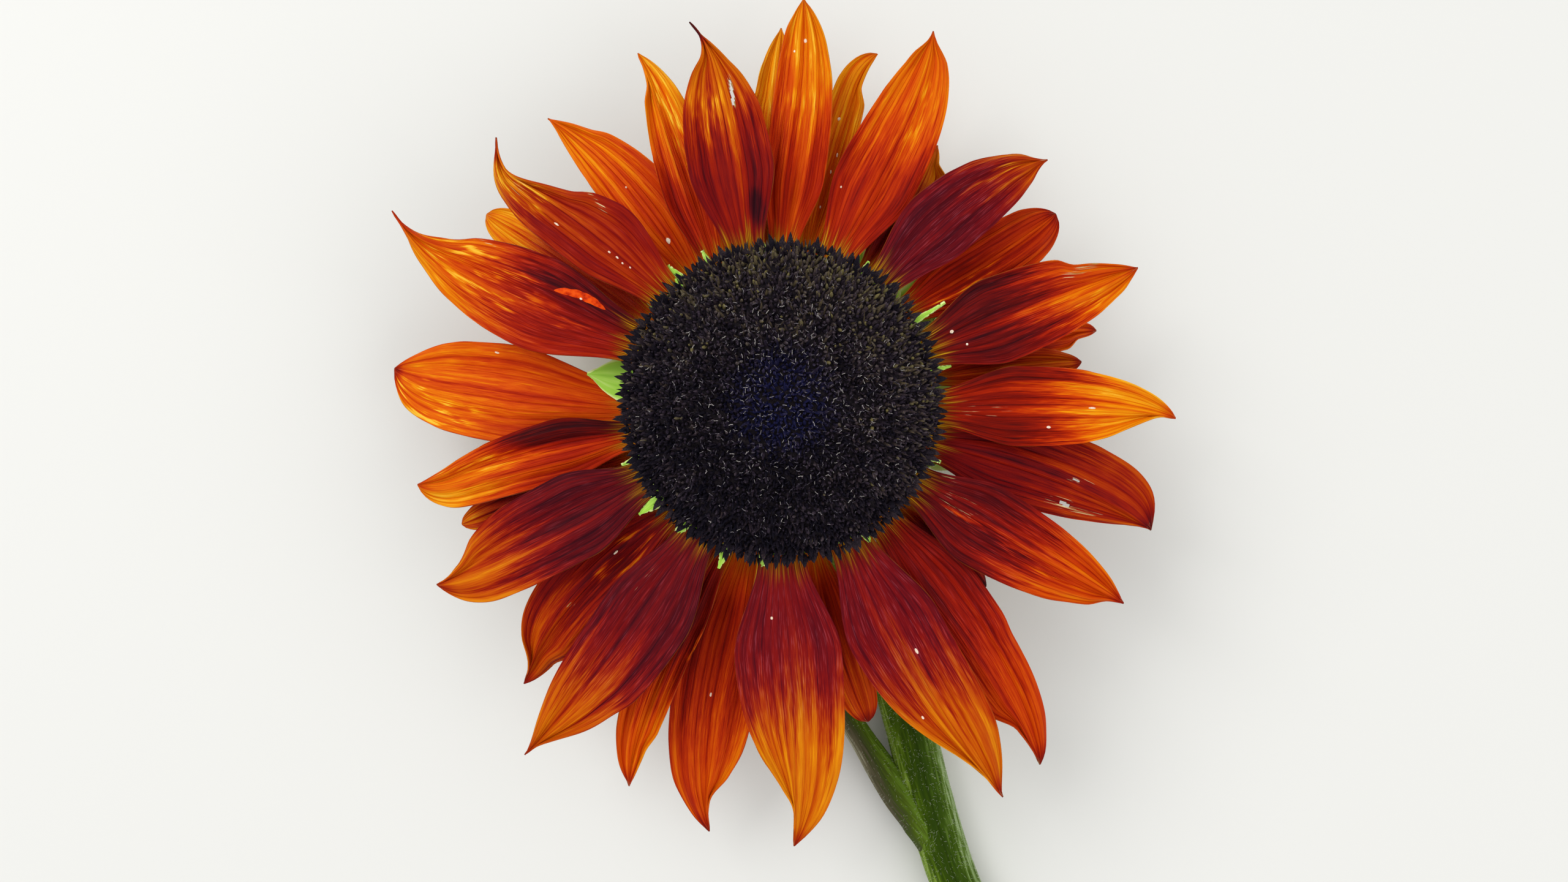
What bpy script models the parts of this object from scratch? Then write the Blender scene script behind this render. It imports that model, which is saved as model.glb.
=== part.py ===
"""A cut sunflower bloom lying on its back: disc, ray florets, bracts, receptacle, bent neck, stem and a leaf.

Everything is in metres, with +Z up out of the flower's face. A clock angle is read from above: 0 is the
bloom's top (+Y), 90 its right (+X) and 180 the side where the stem runs off.
"""

import math
from collections import namedtuple

import bmesh
import bpy
from mathutils import Vector

MM = 0.001
CLEARANCE = 0.3 * MM  # between neighbouring solids

# The head. Its heights are measured from the face, the plane of the disc's rim.
FACE_HEIGHT = 40 * MM  # above the surface that the bloom lies on
DISC_RADIUS = 33.5 * MM
DISC_CROWN = 7.0 * MM  # height of the disc's middle
DISC_SIDES = 89
RECEPTACLE_RADIUS = 31.5 * MM
RECEPTACLE_DEPTH = 17.3 * MM  # from the face to the middle of its back
RECEPTACLE_SIDES = 64

# Ray florets, the petals. Row 0 is the hindmost of three rows, row 2 the front one.
RAY_THICKNESS = 0.7 * MM
RAY_ROOT_RADIUS = RECEPTACLE_RADIUS + CLEARANCE
RAY_ROOT_WIDTH = 0.45  # share of the full width at the root
RAY_TIP_WIDTH = 0.7 * MM
ROW_HEIGHT = (-7.9 * MM, -4.9 * MM, -1.9 * MM)  # of each row's roots
ROW_LIFT = (-2 * MM, 2 * MM, 5 * MM)  # rise over the length, before the droop
ROW_DROOP = (11 * MM, 8 * MM, 8 * MM)  # fall at the tip
RAY_CUP = 1.0 * MM  # how far the edges stand above the middle
RAY_STEPS = (13, 4)  # grid steps along and across
HOOK_FROM = 0.8  # share of the length beyond which a hooked tip turns aside

# Each ray floret: the clock angle at its root, at half its length and at its tip, and how many degrees the
# tip hooks further; the distance of the tip from the head's axis in millimetres; its left and right edges;
# its row, its finish, and the share of its length where it has its full width. An edge has its greatest
# distance from the middle line in millimetres, how far out its shoulder sits and how sharply it falls in
# beyond that.
Ray = namedtuple("Ray", "root middle tip hook reach left right row finish full_at", defaults=(0.34,))
RAYS = (
    Ray(0.5, 4.2, 3.2, 0, 88.0, (6.6, 7, 0.9), (6.5, 4.3, 0.9), 1, "orange", 0.3),
    Ray(10, 12.2, 13.8, 1.5, 82.3, (4.9, 10, 0.7), (4, 3.5, 0.7), 0, "gold"),
    Ray(20, 23.4, 22.6, -0.4, 87.4, (8.5, 4.2, 1), (8.9, 5, 1), 1, "orange"),
    Ray(32.5, 33.3, 31, 0, 68.5, (4, 5, 1), (6, 7, 1), 0, "crimson"),
    Ray(40, 42.2, 46.6, 1, 76.4, (7.7, 5, 1.3), (7.8, 5.5, 0.9), 2, "crimson", 0.4),
    Ray(53.5, 55.5, 55.3, 0, 72.5, (6.6, 8, 0.7), (6.6, 8, 0.6), 1, "orange"),
    Ray(69.8, 69.1, 69.2, 0, 80.8, (9.1, 4, 1.1), (9.1, 4, 0.9), 2, "orange"),
    Ray(76, 75.5, 76.6, 0, 73.1, (3.8, 6, 0.6), (3.8, 8, 0.6), 0, "gold"),
    Ray(80.5, 80.8, 82, 0, 65.8, (3.8, 5, 0.8), (3.8, 8, 0.7), 1, "crimson"),
    Ray(92, 90.8, 92.2, 0, 83.6, (8.4, 4, 0.75), (8.3, 7, 3.5), 2, "gold"),
    Ray(104.5, 105, 108.8, 0, 84.8, (9.6, 14, 1), (8.6, 4.5, 1.4), 1, "crimson"),
    Ray(121, 121.4, 120.3, 0, 84.0, (9, 4.6, 1), (9, 3.6, 1.1), 2, "orange"),
    Ray(130.5, 131.5, 131.5, 0, 61.7, (3.3, 6, 0.7), (3.3, 6, 0.7), 0, "crimson"),
    Ray(139, 140.8, 144.3, 0, 96.3, (8.4, 6, 0.8), (8, 7, 2.2), 1, "orange"),
    Ray(153.5, 153, 150.6, 0, 95.7, (10, 8, 1.4), (10.2, 5, 4), 2, "crimson"),
    Ray(167, 166, 164.6, 0, 74.0, (4.8, 9, 0.6), (4.8, 9, 0.6), 0, "gold"),
    Ray(180, 178, 178.3, 0, 93.8, (11.2, 6, 1), (11.2, 6, 5), 2, "crimson"),
    Ray(193, 193.2, 189.6, 0, 97.5, (9.6, 8, 3.6), (9, 7, 1), 0, "orange"),
    Ray(202, 204, 201.7, 0, 89.2, (4.4, 7, 1), (6, 8, 1.1), 1, "gold"),
    Ray(212.5, 213, 216.1, 0, 92.1, (9.6, 7, 3), (9.1, 6, 1.5), 2, "crimson"),
    Ray(225, 226.5, 222.6, 0, 82.4, (7.5, 9, 0.8), (8.6, 10, 4), 1, "crimson"),
    Ray(240.5, 241.3, 242.2, 0, 82.4, (9, 10, 0.9), (9.2, 7, 2.5), 2, "crimson"),
    Ray(249.5, 249.7, 249.6, 0, 76.9, (3.8, 9, 0.6), (3.8, 9, 0.6), 0, "gold"),
    Ray(258, 258, 256.1, 1.4, 80.8, (7, 10, 0.8), (6.8, 2.6, 0.8), 1, "orange"),
    Ray(268.5, 272.5, 274.5, 1, 87.7, (11.1, 8, 0.8), (10.5, 6, 0.8), 0, "gold", 0.5),
    Ray(292.5, 292.3, 295, 1.3, 91.9, (10, 5, 2.4), (10.4, 5, 2.6), 2, "orange", 0.4),
    Ray(302, 303, 303, 0, 79.3, (5.2, 9, 0.6), (5.2, 9, 0.6), 0, "gold"),
    Ray(312.5, 311.3, 309, 4, 82.5, (7.3, 9, 2.6), (9.6, 4, 4.6), 2, "crimson", 0.4),
    Ray(326, 325.5, 320.9, 0, 83.5, (7.6, 4.5, 1.2), (7.8, 3.5, 1.3), 0, "gold"),
    Ray(334.5, 337.3, 337.8, 0, 82.2, (5.6, 5, 2.5), (6.2, 6, 1), 1, "gold"),
    Ray(347, 348.3, 348.3, -1.8, 83.0, (8.9, 7, 4), (8.9, 7, 4), 2, "crimson", 0.36),
    Ray(357, 358.5, 360, 0, 85.2, (6, 5, 1), (4.8, 5, 1), 0, "gold"),
)

# Bracts, the green scales behind the petals. Each ring has a count, the first one's clock angle, the radius
# and height of the root and of the tip, a half width, and how late along its length a bract turns down.
BRACT_THICKNESS = 0.8 * MM
BRACT_CUP = 1.6 * MM
BRACT_ROOT_WIDTH = 0.8  # share of the full width
BRACT_FULL_AT = 0.25
BRACT_SHOULDER = 2.2
BRACT_SHARPNESS = 1.2
BRACT_TIP_WIDTH = 0.8 * MM
BRACT_STEPS = (6, 4)
BractRing = namedtuple("BractRing", "count first root tip half_width dive")
INNER_BRACTS = BractRing(13, 18.5, (31.3 * MM, -11.0 * MM), (52 * MM, -19 * MM), 7.6 * MM, 1.3)
ON_GROUND = 0.5 * BRACT_THICKNESS - FACE_HEIGHT
OUTER_BRACTS = BractRing(8, 41.5, (29.0 * MM, -14.3 * MM), (50 * MM, ON_GROUND), 8.4 * MM, 1.7)
LEAF_SIDE = (170.0, 280.0)  # clock angles between which the outer bracts stop above the leaf
OVER_LEAF = 8 * MM  # height of their tips above the ground

# The stem lies on the ground, and the neck turns up from it into the receptacle
STEM_ROUTE = ((7.6, -15.1), (16, -33), (24, -53), (29.8, -73), (34.6, -92), (41, -112), (50, -131))  # mm
STEM_RADIUS = 6.2 * MM  # at the neck
STEM_RADIUS_AT_CUT = 5.7 * MM
STEM_AXIS_HEIGHT = 6.4 * MM
STEM_SAMPLES = 22
STEM_SIDES = 4  # bevel_resolution
NECK_TOP_RADIUS = 8.8 * MM
NECK_STUB = 1.5 * MM  # straight length at each end of the neck's bend
# The bend's radius, along its middle
NECK_BEND = FACE_HEIGHT - RECEPTACLE_DEPTH - CLEARANCE - NECK_STUB - STEM_AXIS_HEIGHT
NECK_SAMPLES = 9

# The leaf, on a stalk that leaves the stem on its left
STALK_ROUTE = (  # mm
    (33.8, -98, 6.4),
    (27.2, -90.5, 7.0),
    (19.4, -78.8, 7.2),
    (10, -64, 6.2),
    (-0.3, -50.6, 4.4),
)
STALK_RADII = (4.4 * MM, 3.6 * MM, 2.8 * MM, 2.4 * MM, 2.0 * MM)
STALK_SAMPLES = 12
STALK_SIDES = 3  # bevel_resolution
LEAF_START = Vector((-0.6, -50.2, 4.4)) * MM
LEAF_HEADING = 305.0  # clock angle that the midrib points to
LEAF_LENGTH = 90 * MM
LEAF_HALF_WIDTH = 24 * MM
LEAF_WIDEST_AT = 0.16  # share of the length
LEAF_THICKNESS = 1.0 * MM
LEAF_TEETH = 11  # on each side
LEAF_TOOTH = 0.07  # depth as a share of the half width
LEAF_WAVE = 2.2 * MM
LEAF_STEPS = (2 * LEAF_TEETH, 6)

# Colour and roughness
FINISHES = {
    "gold": ((0.83, 0.29, 0.02), 0.5),
    "orange": ((0.62, 0.11, 0.01), 0.5),
    "crimson": ((0.27, 0.015, 0.02), 0.45),
    "chaff": ((0.018, 0.012, 0.016), 0.8),
    "bract": ((0.20, 0.36, 0.08), 0.6),
    "stem": ((0.22, 0.33, 0.11), 0.65),
    "leaf": ((0.09, 0.26, 0.03), 0.5),
}


def clear_scene():
    for old in list(bpy.data.objects):
        bpy.data.objects.remove(old, do_unlink=True)


def new_collection(name):
    made = bpy.data.collections.new(name)
    bpy.context.scene.collection.children.link(made)
    return made


def new_empty(name, collection, parent=None, height=0.0):
    made = bpy.data.objects.new(name, None)
    made.parent = parent
    made.location.z = height
    collection.objects.link(made)
    return made


def new_material(name):
    """A Principled material in one of the plant's finishes."""
    colour, roughness = FINISHES[name]
    made = bpy.data.materials.new(name)
    made.use_nodes = True
    shader = made.node_tree.nodes["Principled BSDF"]
    shader.inputs["Base Color"].default_value = (*colour, 1)
    shader.inputs["Roughness"].default_value = roughness
    shader.inputs["Metallic"].default_value = 0.0
    return made


def smoothstep(x):
    x = min(1.0, max(0.0, x))
    return x * x * (3 - 2 * x)


def quadratic(start, middle, end, share):
    """The value at a share of the way along the parabola through three values."""
    near = start * (1 - share) * (1 - 2 * share)
    far = end * share * (2 * share - 1)
    return near + 4 * middle * share * (1 - share) + far


def linear(values, share):
    """The value at a share of the way along evenly spaced values."""
    place = min(share * (len(values) - 1), len(values) - 1 - 1e-6)
    k = int(place)
    return values[k] + (values[k + 1] - values[k]) * (place - k)


def from_clock(radius, clock, height=0.0):
    """The point at a distance from the head's axis, in the direction of a clock angle."""
    angle = math.radians(clock)
    return Vector((radius * math.sin(angle), radius * math.cos(angle), height))


def shade_smooth(mesh):
    mesh.shade_smooth()
    mesh.set_sharp_from_angle(angle=math.radians(40))


def blade(name, steps, thickness, place):
    """A thin blade: a grid whose points go where place(along, across) says, given thickness by Solidify.

    along runs from 0 at the root to 1 at the tip, and across from -1 to 1.
    """
    grid = bmesh.new()
    bmesh.ops.create_grid(grid, x_segments=steps[1], y_segments=steps[0], size=0.5)
    for vertex in grid.verts:
        vertex.co = place(vertex.co.y + 0.5, 2 * vertex.co.x)
    mesh = bpy.data.meshes.new(name)
    grid.to_mesh(mesh)
    grid.free()
    shade_smooth(mesh)
    obj = bpy.data.objects.new(name, mesh)
    solidify = obj.modifiers.new("thickness", "SOLIDIFY")
    solidify.thickness = thickness
    solidify.offset = 0
    return obj


def taper(along, root_width, full_at, shoulder, sharpness):
    """A blade's half width as a share of its greatest: it widens from the root, then narrows to the tip."""
    widening = root_width + (1 - root_width) * smoothstep(along / full_at)
    return widening * (1 - along**shoulder) ** sharpness


def make_ray(number, ray):
    """One ray floret, modelled with its root at clock angle 0 and then turned to its place."""

    def middle_line(along):
        radius = RAY_ROOT_RADIUS + (ray.reach * MM - RAY_ROOT_RADIUS) * along
        clock = quadratic(0, ray.middle - ray.root, ray.tip - ray.root, along)
        hook = ray.hook * (max(0.0, along - HOOK_FROM) / (1 - HOOK_FROM)) ** 2
        return from_clock(radius, clock + hook)

    def place(along, across):
        small = 0.01
        heading = middle_line(along + small) - middle_line(along - small)
        clockwise = Vector((heading.y, -heading.x, 0)).normalized()
        edge, shoulder, sharpness = ray.left if across < 0 else ray.right
        share = taper(along, RAY_ROOT_WIDTH, ray.full_at, shoulder, sharpness)
        half_width = max(0.5 * RAY_TIP_WIDTH, edge * MM * share)
        height = ROW_LIFT[ray.row] * along - ROW_DROOP[ray.row] * along * along
        height += RAY_CUP * across * across * math.sin(math.pi * along)
        point = middle_line(along) + clockwise * half_width * across
        point.z = height
        return point

    obj = blade(f"ray_{number:02}", RAY_STEPS, RAY_THICKNESS, place)
    obj.rotation_euler.z = -math.radians(ray.root)
    obj.location.z = ROW_HEIGHT[ray.row]
    return obj


def make_bract(name, ring, clock, tip_height):
    """One bract, modelled at clock angle 0 and then turned to its place."""

    def place(along, across):
        share = taper(along, BRACT_ROOT_WIDTH, BRACT_FULL_AT, BRACT_SHOULDER, BRACT_SHARPNESS)
        half_width = max(0.5 * BRACT_TIP_WIDTH, ring.half_width * share)
        radius = ring.root[0] + (ring.tip[0] - ring.root[0]) * along
        height = ring.root[1] + (tip_height - ring.root[1]) * along**ring.dive
        cup = BRACT_CUP * across * across * share * smoothstep(along / 0.2)
        return Vector((half_width * across, radius, height - cup))

    obj = blade(name, BRACT_STEPS, BRACT_THICKNESS, place)
    obj.rotation_euler.z = -math.radians(clock)
    return obj


def make_bracts():
    inner, outer = INNER_BRACTS, OUTER_BRACTS
    for i in range(inner.count):
        clock = inner.first + 360 * i / inner.count
        yield make_bract(f"inner_bract_{i + 1:02}", inner, clock, inner.tip[1])
    for i in range(outer.count):
        clock = outer.first + 360 * i / outer.count
        over_leaf = LEAF_SIDE[0] < clock < LEAF_SIDE[1]
        tip_height = OVER_LEAF - FACE_HEIGHT if over_leaf else outer.tip[1]
        yield make_bract(f"outer_bract_{i + 1:02}", outer, clock, tip_height)


def turned(name, profile, sides):
    """A turned solid. Its profile, of (radius, height), runs from the axis at the top to the axis below."""
    mesh = bpy.data.meshes.new(name)
    points = [(radius, 0, height) for radius, height in profile]
    mesh.from_pydata(points, [(i, i + 1) for i in range(len(points) - 1)], [])
    obj = bpy.data.objects.new(name, mesh)
    screw = obj.modifiers.new("turn", "SCREW")
    screw.steps = screw.render_steps = sides
    screw.use_merge_vertices = True
    screw.merge_threshold = 0.01 * MM
    screw.use_smooth_shade = True
    return obj


def make_disc():
    """The domed cushion of disc florets."""
    shares = ((0, 1), (0.4, 0.97), (0.7, 0.8), (0.88, 0.5), (1, 0.12), (0.95, 0), (0, 0))
    profile = [(DISC_RADIUS * out, DISC_CROWN * up) for out, up in shares]
    return turned("disc", profile, DISC_SIDES)


def make_receptacle():
    """The green cushion that carries the disc and, on its wall, the petals and bracts."""
    wall = RECEPTACLE_RADIUS
    profile = (
        (0, -CLEARANCE),
        (wall, -CLEARANCE),
        (wall, -9.4 * MM),
        (wall - 1.0 * MM, -11.6 * MM),
        (wall - 3.2 * MM, -14.6 * MM),
        (wall - 10 * MM, -16.4 * MM),
        (0, -RECEPTACLE_DEPTH),
    )
    return turned("receptacle", profile, RECEPTACLE_SIDES)


def smooth_route(points, samples):
    """Points evenly spread in parameter along a Catmull-Rom curve through the given ones."""
    points = [2 * points[0] - points[1], *points, 2 * points[-1] - points[-2]]
    spans = len(points) - 3
    found = []
    for i in range(samples + 1):
        place = min(i / samples * spans, spans - 1e-6)
        k, u = int(place), place - int(place)
        a, b, c, d = points[k : k + 4]
        slope, bend, twist = c - a, 2 * a - 5 * b + 4 * c - d, 3 * b - a - 3 * c + d
        found.append(0.5 * (2 * b + slope * u + bend * u**2 + twist * u**3))
    return found


def tube(name, route, radii, bevel_resolution):
    """A tapering tube with flat ends along a route, as a mesh."""
    data = bpy.data.curves.new(name, "CURVE")
    data.dimensions = "3D"
    data.bevel_depth = 1.0
    data.bevel_resolution = bevel_resolution
    data.use_fill_caps = True
    spline = data.splines.new("POLY")
    spline.points.add(len(route) - 1)
    for point, place, radius in zip(spline.points, route, radii):
        point.co = (*place, 1)
        point.radius = radius
    curve = bpy.data.objects.new(name, data)
    bpy.context.scene.collection.objects.link(curve)
    mesh = bpy.data.meshes.new_from_object(curve.evaluated_get(bpy.context.evaluated_depsgraph_get()))
    bpy.data.objects.remove(curve)
    welded = bmesh.new()
    welded.from_mesh(mesh)
    bmesh.ops.remove_doubles(welded, verts=welded.verts, dist=0.01 * MM)
    bmesh.ops.recalc_face_normals(welded, faces=welded.faces)
    welded.to_mesh(mesh)
    welded.free()
    mesh.name = name
    shade_smooth(mesh)
    return bpy.data.objects.new(name, mesh)


def stem_heading():
    """The flat direction in which the neck comes down into the stem."""
    return Vector((*STEM_ROUTE[0], 0)).normalized()


def make_neck():
    """A quarter bend from the middle of the receptacle's back down to the stem."""
    heading = stem_heading()
    bend_top = STEM_AXIS_HEIGHT + NECK_BEND
    route, radii = [Vector((0, 0, bend_top + NECK_STUB))], [NECK_TOP_RADIUS]
    for i in range(NECK_SAMPLES + 1):
        share = i / NECK_SAMPLES
        turn = share * math.pi / 2
        out, down = NECK_BEND * (1 - math.cos(turn)), NECK_BEND * math.sin(turn)
        route.append(heading * out + Vector((0, 0, bend_top - down)))
        radii.append(STEM_RADIUS + (NECK_TOP_RADIUS - STEM_RADIUS) * (1 - share) ** 2)
    route.append(route[-1] + heading * NECK_STUB)
    radii.append(STEM_RADIUS)
    return tube("neck", route, radii, STEM_SIDES)


def stem_points():
    """The stem's route and its radius at each point, from the neck to the flat cut."""
    corners = [Vector((x * MM, y * MM, STEM_AXIS_HEIGHT)) for x, y in STEM_ROUTE]
    corners[0] = stem_heading() * (NECK_BEND + NECK_STUB + CLEARANCE)
    corners[0].z = STEM_AXIS_HEIGHT
    radii = [linear((STEM_RADIUS, STEM_RADIUS_AT_CUT), i / STEM_SAMPLES) for i in range(STEM_SAMPLES + 1)]
    return smooth_route(corners, STEM_SAMPLES), radii


def make_stem():
    return tube("stem", *stem_points(), STEM_SIDES)


def make_stalk(cutters, plant):
    """The leaf's stalk, whose foot is cut to the stem's round side."""
    route = smooth_route([Vector(point) * MM for point in STALK_ROUTE], STALK_SAMPLES)
    radii = [linear(STALK_RADII, i / STALK_SAMPLES) for i in range(STALK_SAMPLES + 1)]
    stalk = tube("leaf_stalk", route, radii, STALK_SIDES)
    stem_route, stem_radii = stem_points()
    cutter = tube("stem_clearance", stem_route, [radius + CLEARANCE for radius in stem_radii], STEM_SIDES)
    cutter.hide_render = True
    cutter.display_type = "WIRE"
    cutter.parent = plant
    cutters.objects.link(cutter)
    foot = stalk.modifiers.new("foot", "BOOLEAN")
    foot.operation = "DIFFERENCE"
    foot.object = cutter
    return stalk


def leaf_outline(along):
    """The leaf's half width as a share of its greatest: round at the base, pointed, with teeth."""
    if along < LEAF_WIDEST_AT:
        body = math.sqrt(along / LEAF_WIDEST_AT)
    else:
        body = 1 - ((along - LEAF_WIDEST_AT) / (1 - LEAF_WIDEST_AT)) ** 1.7
    tooth = 1 - LEAF_TOOTH * (round(along * LEAF_STEPS[0]) % 2)
    return max(0.02, body * tooth)


def make_leaf():
    """The leaf blade, lying on the ground under the head, its sides waving up a little."""
    ahead, right = from_clock(1, LEAF_HEADING), from_clock(1, LEAF_HEADING + 90)
    rest = 0.6 * LEAF_THICKNESS

    def place(along, across):
        point = LEAF_START + ahead * LEAF_LENGTH * along
        point += right * LEAF_HALF_WIDTH * leaf_outline(along) * across
        root_height = (LEAF_START.z - rest) * (1 - smoothstep(along / 0.3))
        wave = LEAF_WAVE * abs(across) ** 1.5 * (1 + 0.6 * math.sin(9 * along + 2 * across))
        point.z = rest + root_height + wave * smoothstep(along / 0.15)
        return point

    return blade("leaf_blade", LEAF_STEPS, LEAF_THICKNESS, place)


def rest_on_ground(plant, parts):
    """Moves the whole plant so that the middle of its box's underside is at the origin."""
    bpy.context.view_layer.update()
    graph = bpy.context.evaluated_depsgraph_get()
    corners = []
    for part in parts:
        shown = part.evaluated_get(graph)
        corners += [shown.matrix_world @ vertex.co for vertex in shown.data.vertices]
    low = Vector(map(min, zip(*corners)))
    high = Vector(map(max, zip(*corners)))
    plant.location = -Vector(((low.x + high.x) / 2, (low.y + high.y) / 2, low.z))


def main():
    clear_scene()
    collection = new_collection("sunflower")
    cutters = new_collection("cutters")
    plant = new_empty("plant", collection)
    head = new_empty("head", collection, plant, FACE_HEIGHT)
    materials = {name: new_material(name) for name in FINISHES}
    parts = []

    def add(obj, finish, parent):
        obj.parent = parent
        obj.data.materials.clear()
        obj.data.materials.append(materials[finish])
        collection.objects.link(obj)
        parts.append(obj)

    add(make_disc(), "chaff", head)
    add(make_receptacle(), "bract", head)
    for number, ray in enumerate(RAYS, start=1):
        add(make_ray(number, ray), ray.finish, head)
    for bract in make_bracts():
        add(bract, "bract", head)
    add(make_neck(), "stem", plant)
    add(make_stem(), "stem", plant)
    add(make_stalk(cutters, plant), "stem", plant)
    add(make_leaf(), "leaf", plant)
    rest_on_ground(plant, parts)


main()
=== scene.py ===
# %% [markdown]
# # A cut sunflower bloom, dressed
# The solid model already gives the bloom its size: a disc on a green receptacle, thirty-two petals, bracts,
# a bent neck, a stem and one leaf. This lesson gives each of them the surface of the real plant. Almost
# every shape is a sheet: a function of two parameters, worked out on a grid with numpy in one go.

# %% Load the frame
import math
from collections import namedtuple
from functools import partial

import bpy
import numpy as np
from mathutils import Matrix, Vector


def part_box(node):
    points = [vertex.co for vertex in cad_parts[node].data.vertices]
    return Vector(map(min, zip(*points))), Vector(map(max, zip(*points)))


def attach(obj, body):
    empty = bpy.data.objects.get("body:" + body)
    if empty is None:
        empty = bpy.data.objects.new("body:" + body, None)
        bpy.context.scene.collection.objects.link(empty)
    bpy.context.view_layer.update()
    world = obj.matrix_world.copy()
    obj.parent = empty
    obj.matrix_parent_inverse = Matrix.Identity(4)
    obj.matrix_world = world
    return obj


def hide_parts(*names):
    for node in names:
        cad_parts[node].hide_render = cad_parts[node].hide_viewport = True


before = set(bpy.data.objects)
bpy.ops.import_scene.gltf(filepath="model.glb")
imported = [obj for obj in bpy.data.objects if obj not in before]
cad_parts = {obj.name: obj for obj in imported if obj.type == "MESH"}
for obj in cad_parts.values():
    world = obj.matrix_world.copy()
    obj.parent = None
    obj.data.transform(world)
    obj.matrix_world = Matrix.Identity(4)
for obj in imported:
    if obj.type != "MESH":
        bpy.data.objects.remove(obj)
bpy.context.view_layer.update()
MM = 0.001
UP = np.array([0, 0, 1.0])
disc_low, disc_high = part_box("disc")
HEAD = 0.5 * (np.array(disc_low) + np.array(disc_high))
HEAD[2] = disc_low.z
DISC_RADIUS = 0.5 * (disc_high.y - disc_low.y)
DISC_CROWN = disc_high.z - disc_low.z
print("head axis and face", HEAD, "disc radius", DISC_RADIUS, "crown", DISC_CROWN)

# %% [markdown]
# Positions on a flower head are easiest to say as on a clock: an angle from the bloom's top and a distance
# from the head's axis. A few small functions on whole arrays are all that the petals, bracts and florets
# need, and each says its formula in words.

# %% Helpers for shapes


def smoothstep(x):
    """0 below 0, 1 above 1, and 3x^2 - 2x^3 between."""
    x = np.clip(x, 0, 1)
    return x * x * (3 - 2 * x)


def quadratic(start, middle, end, share):
    """The parabola through three values at shares 0, a half and 1."""
    rest = 1 - share
    return start * rest * (rest - share) + 4 * middle * share * rest + end * share * (share - rest)


def from_clock(radius, clock):
    """x = radius times sine, y = radius times cosine of the clock angle in degrees."""
    angle = np.radians(clock)
    return np.stack([radius * np.sin(angle), radius * np.cos(angle)], axis=-1)


def raised(flat, height):
    """Flat points with a height as their third number, one for all or one for each."""
    return np.concatenate([flat, np.broadcast_to(height, flat.shape[:-1])[..., None]], axis=-1)


def spoke_at(clock):
    """The level direction, one long, from the head's axis toward a clock angle."""
    return raised(from_clock(1.0, clock), 0.0)


def unit(vectors):
    """Each vector divided by its length."""
    return vectors / np.maximum(np.linalg.norm(vectors, axis=-1, keepdims=True), 1e-12)


def waves(places, rng, longest, shortest, count=6):
    """A smooth random line between -1 and 1: sines of random lengths and phases, averaged."""
    lengths = np.geomspace(longest, shortest, count)
    phases = rng.uniform(0, 2 * np.pi, count)
    total = sum(np.sin(2 * np.pi * places / length + phase) for length, phase in zip(lengths, phases))
    return total / np.sqrt(count)


def sheet(rows, columns):
    """The two parameters of a sheet on a grid: along from 0 to 1, and across from -1 to 1."""
    return np.meshgrid(np.linspace(0, 1, rows), np.linspace(-1, 1, columns), indexing="ij")


def grid_faces(rows, columns, closed=False):
    """The quads of a grid of points numbered row by row; closed joins the last column to the first."""
    number = np.arange(rows * columns).reshape(rows, columns)
    if closed:
        number = np.concatenate([number, number[:, :1]], axis=1)
    corners = [number[:-1, :-1], number[:-1, 1:], number[1:, 1:], number[1:, :-1]]
    return np.stack(corners, axis=-1).reshape(-1, 4)


def triangles(quads, *more):
    """Each quad cut in two along its diagonal, then any further triangles."""
    return np.concatenate([quads[:, [0, 1, 2]], quads[:, [0, 2, 3]], *more])


def ringed(profile, sides, lean=0.0):
    """A small turned shape: rings of the profile's (radius, height), closed by a point at the top. Lean
    moves it aside by the square of the height."""
    turn = np.arange(sides) * 2 * np.pi / sides
    out, up = np.array(profile, float).T[..., None]
    rings = np.stack([out * np.cos(turn) + lean * up**2, out * np.sin(turn), 0 * turn + up], axis=-1)
    last = (len(profile) - 1) * sides
    top = np.arange(last - sides, last)
    tip = np.stack([top, np.roll(top, -1), 0 * top + last], axis=-1)
    return rings.reshape(-1, 3)[: last + 1], triangles(grid_faces(len(profile) - 1, sides, closed=True), tip)


print("shape helpers ready")

# %% [markdown]
# A mesh is filled straight from arrays with `foreach_set`, which is far quicker than adding faces one by
# one. What a pattern has to know about a place, such as how much light comes through a petal there, goes
# along as an attribute of the points.

# %% Helpers that make pieces


def new_piece(name, points, faces, material, slot, replaces=(), uv=None, sharp=55, **attributes):
    """A smooth mesh from an array of points and a list of face arrays, each with one number of corners."""
    corners = np.concatenate([part.ravel() for part in faces])
    sizes = np.concatenate([np.full(len(part), part.shape[1]) for part in faces])
    mesh = bpy.data.meshes.new(name)
    mesh.vertices.add(len(points))
    mesh.vertices.foreach_set("co", np.asarray(points, np.float32).ravel())
    mesh.loops.add(len(corners))
    mesh.loops.foreach_set("vertex_index", corners.astype(np.int32))
    mesh.polygons.add(len(sizes))
    mesh.polygons.foreach_set("loop_start", (np.cumsum(sizes) - sizes).astype(np.int32))
    mesh.update(calc_edges=True)
    mesh.validate()
    mesh.shade_smooth()
    mesh.set_sharp_from_angle(angle=math.radians(sharp))
    if uv is not None:
        layer = mesh.uv_layers.new(name="own_uv")
        layer.data.foreach_set("uv", np.asarray(uv, np.float32)[corners].ravel())
    for label, values in attributes.items():
        attribute = mesh.attributes.new(label, "FLOAT", "POINT")
        attribute.data.foreach_set("value", np.asarray(values, np.float32).ravel())
    mesh.materials.append(material)
    piece = bpy.data.objects.new(name, mesh)
    bpy.context.scene.collection.objects.link(piece)
    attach(piece, "root")
    if replaces:
        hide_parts(*replaces)
    return piece


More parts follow.
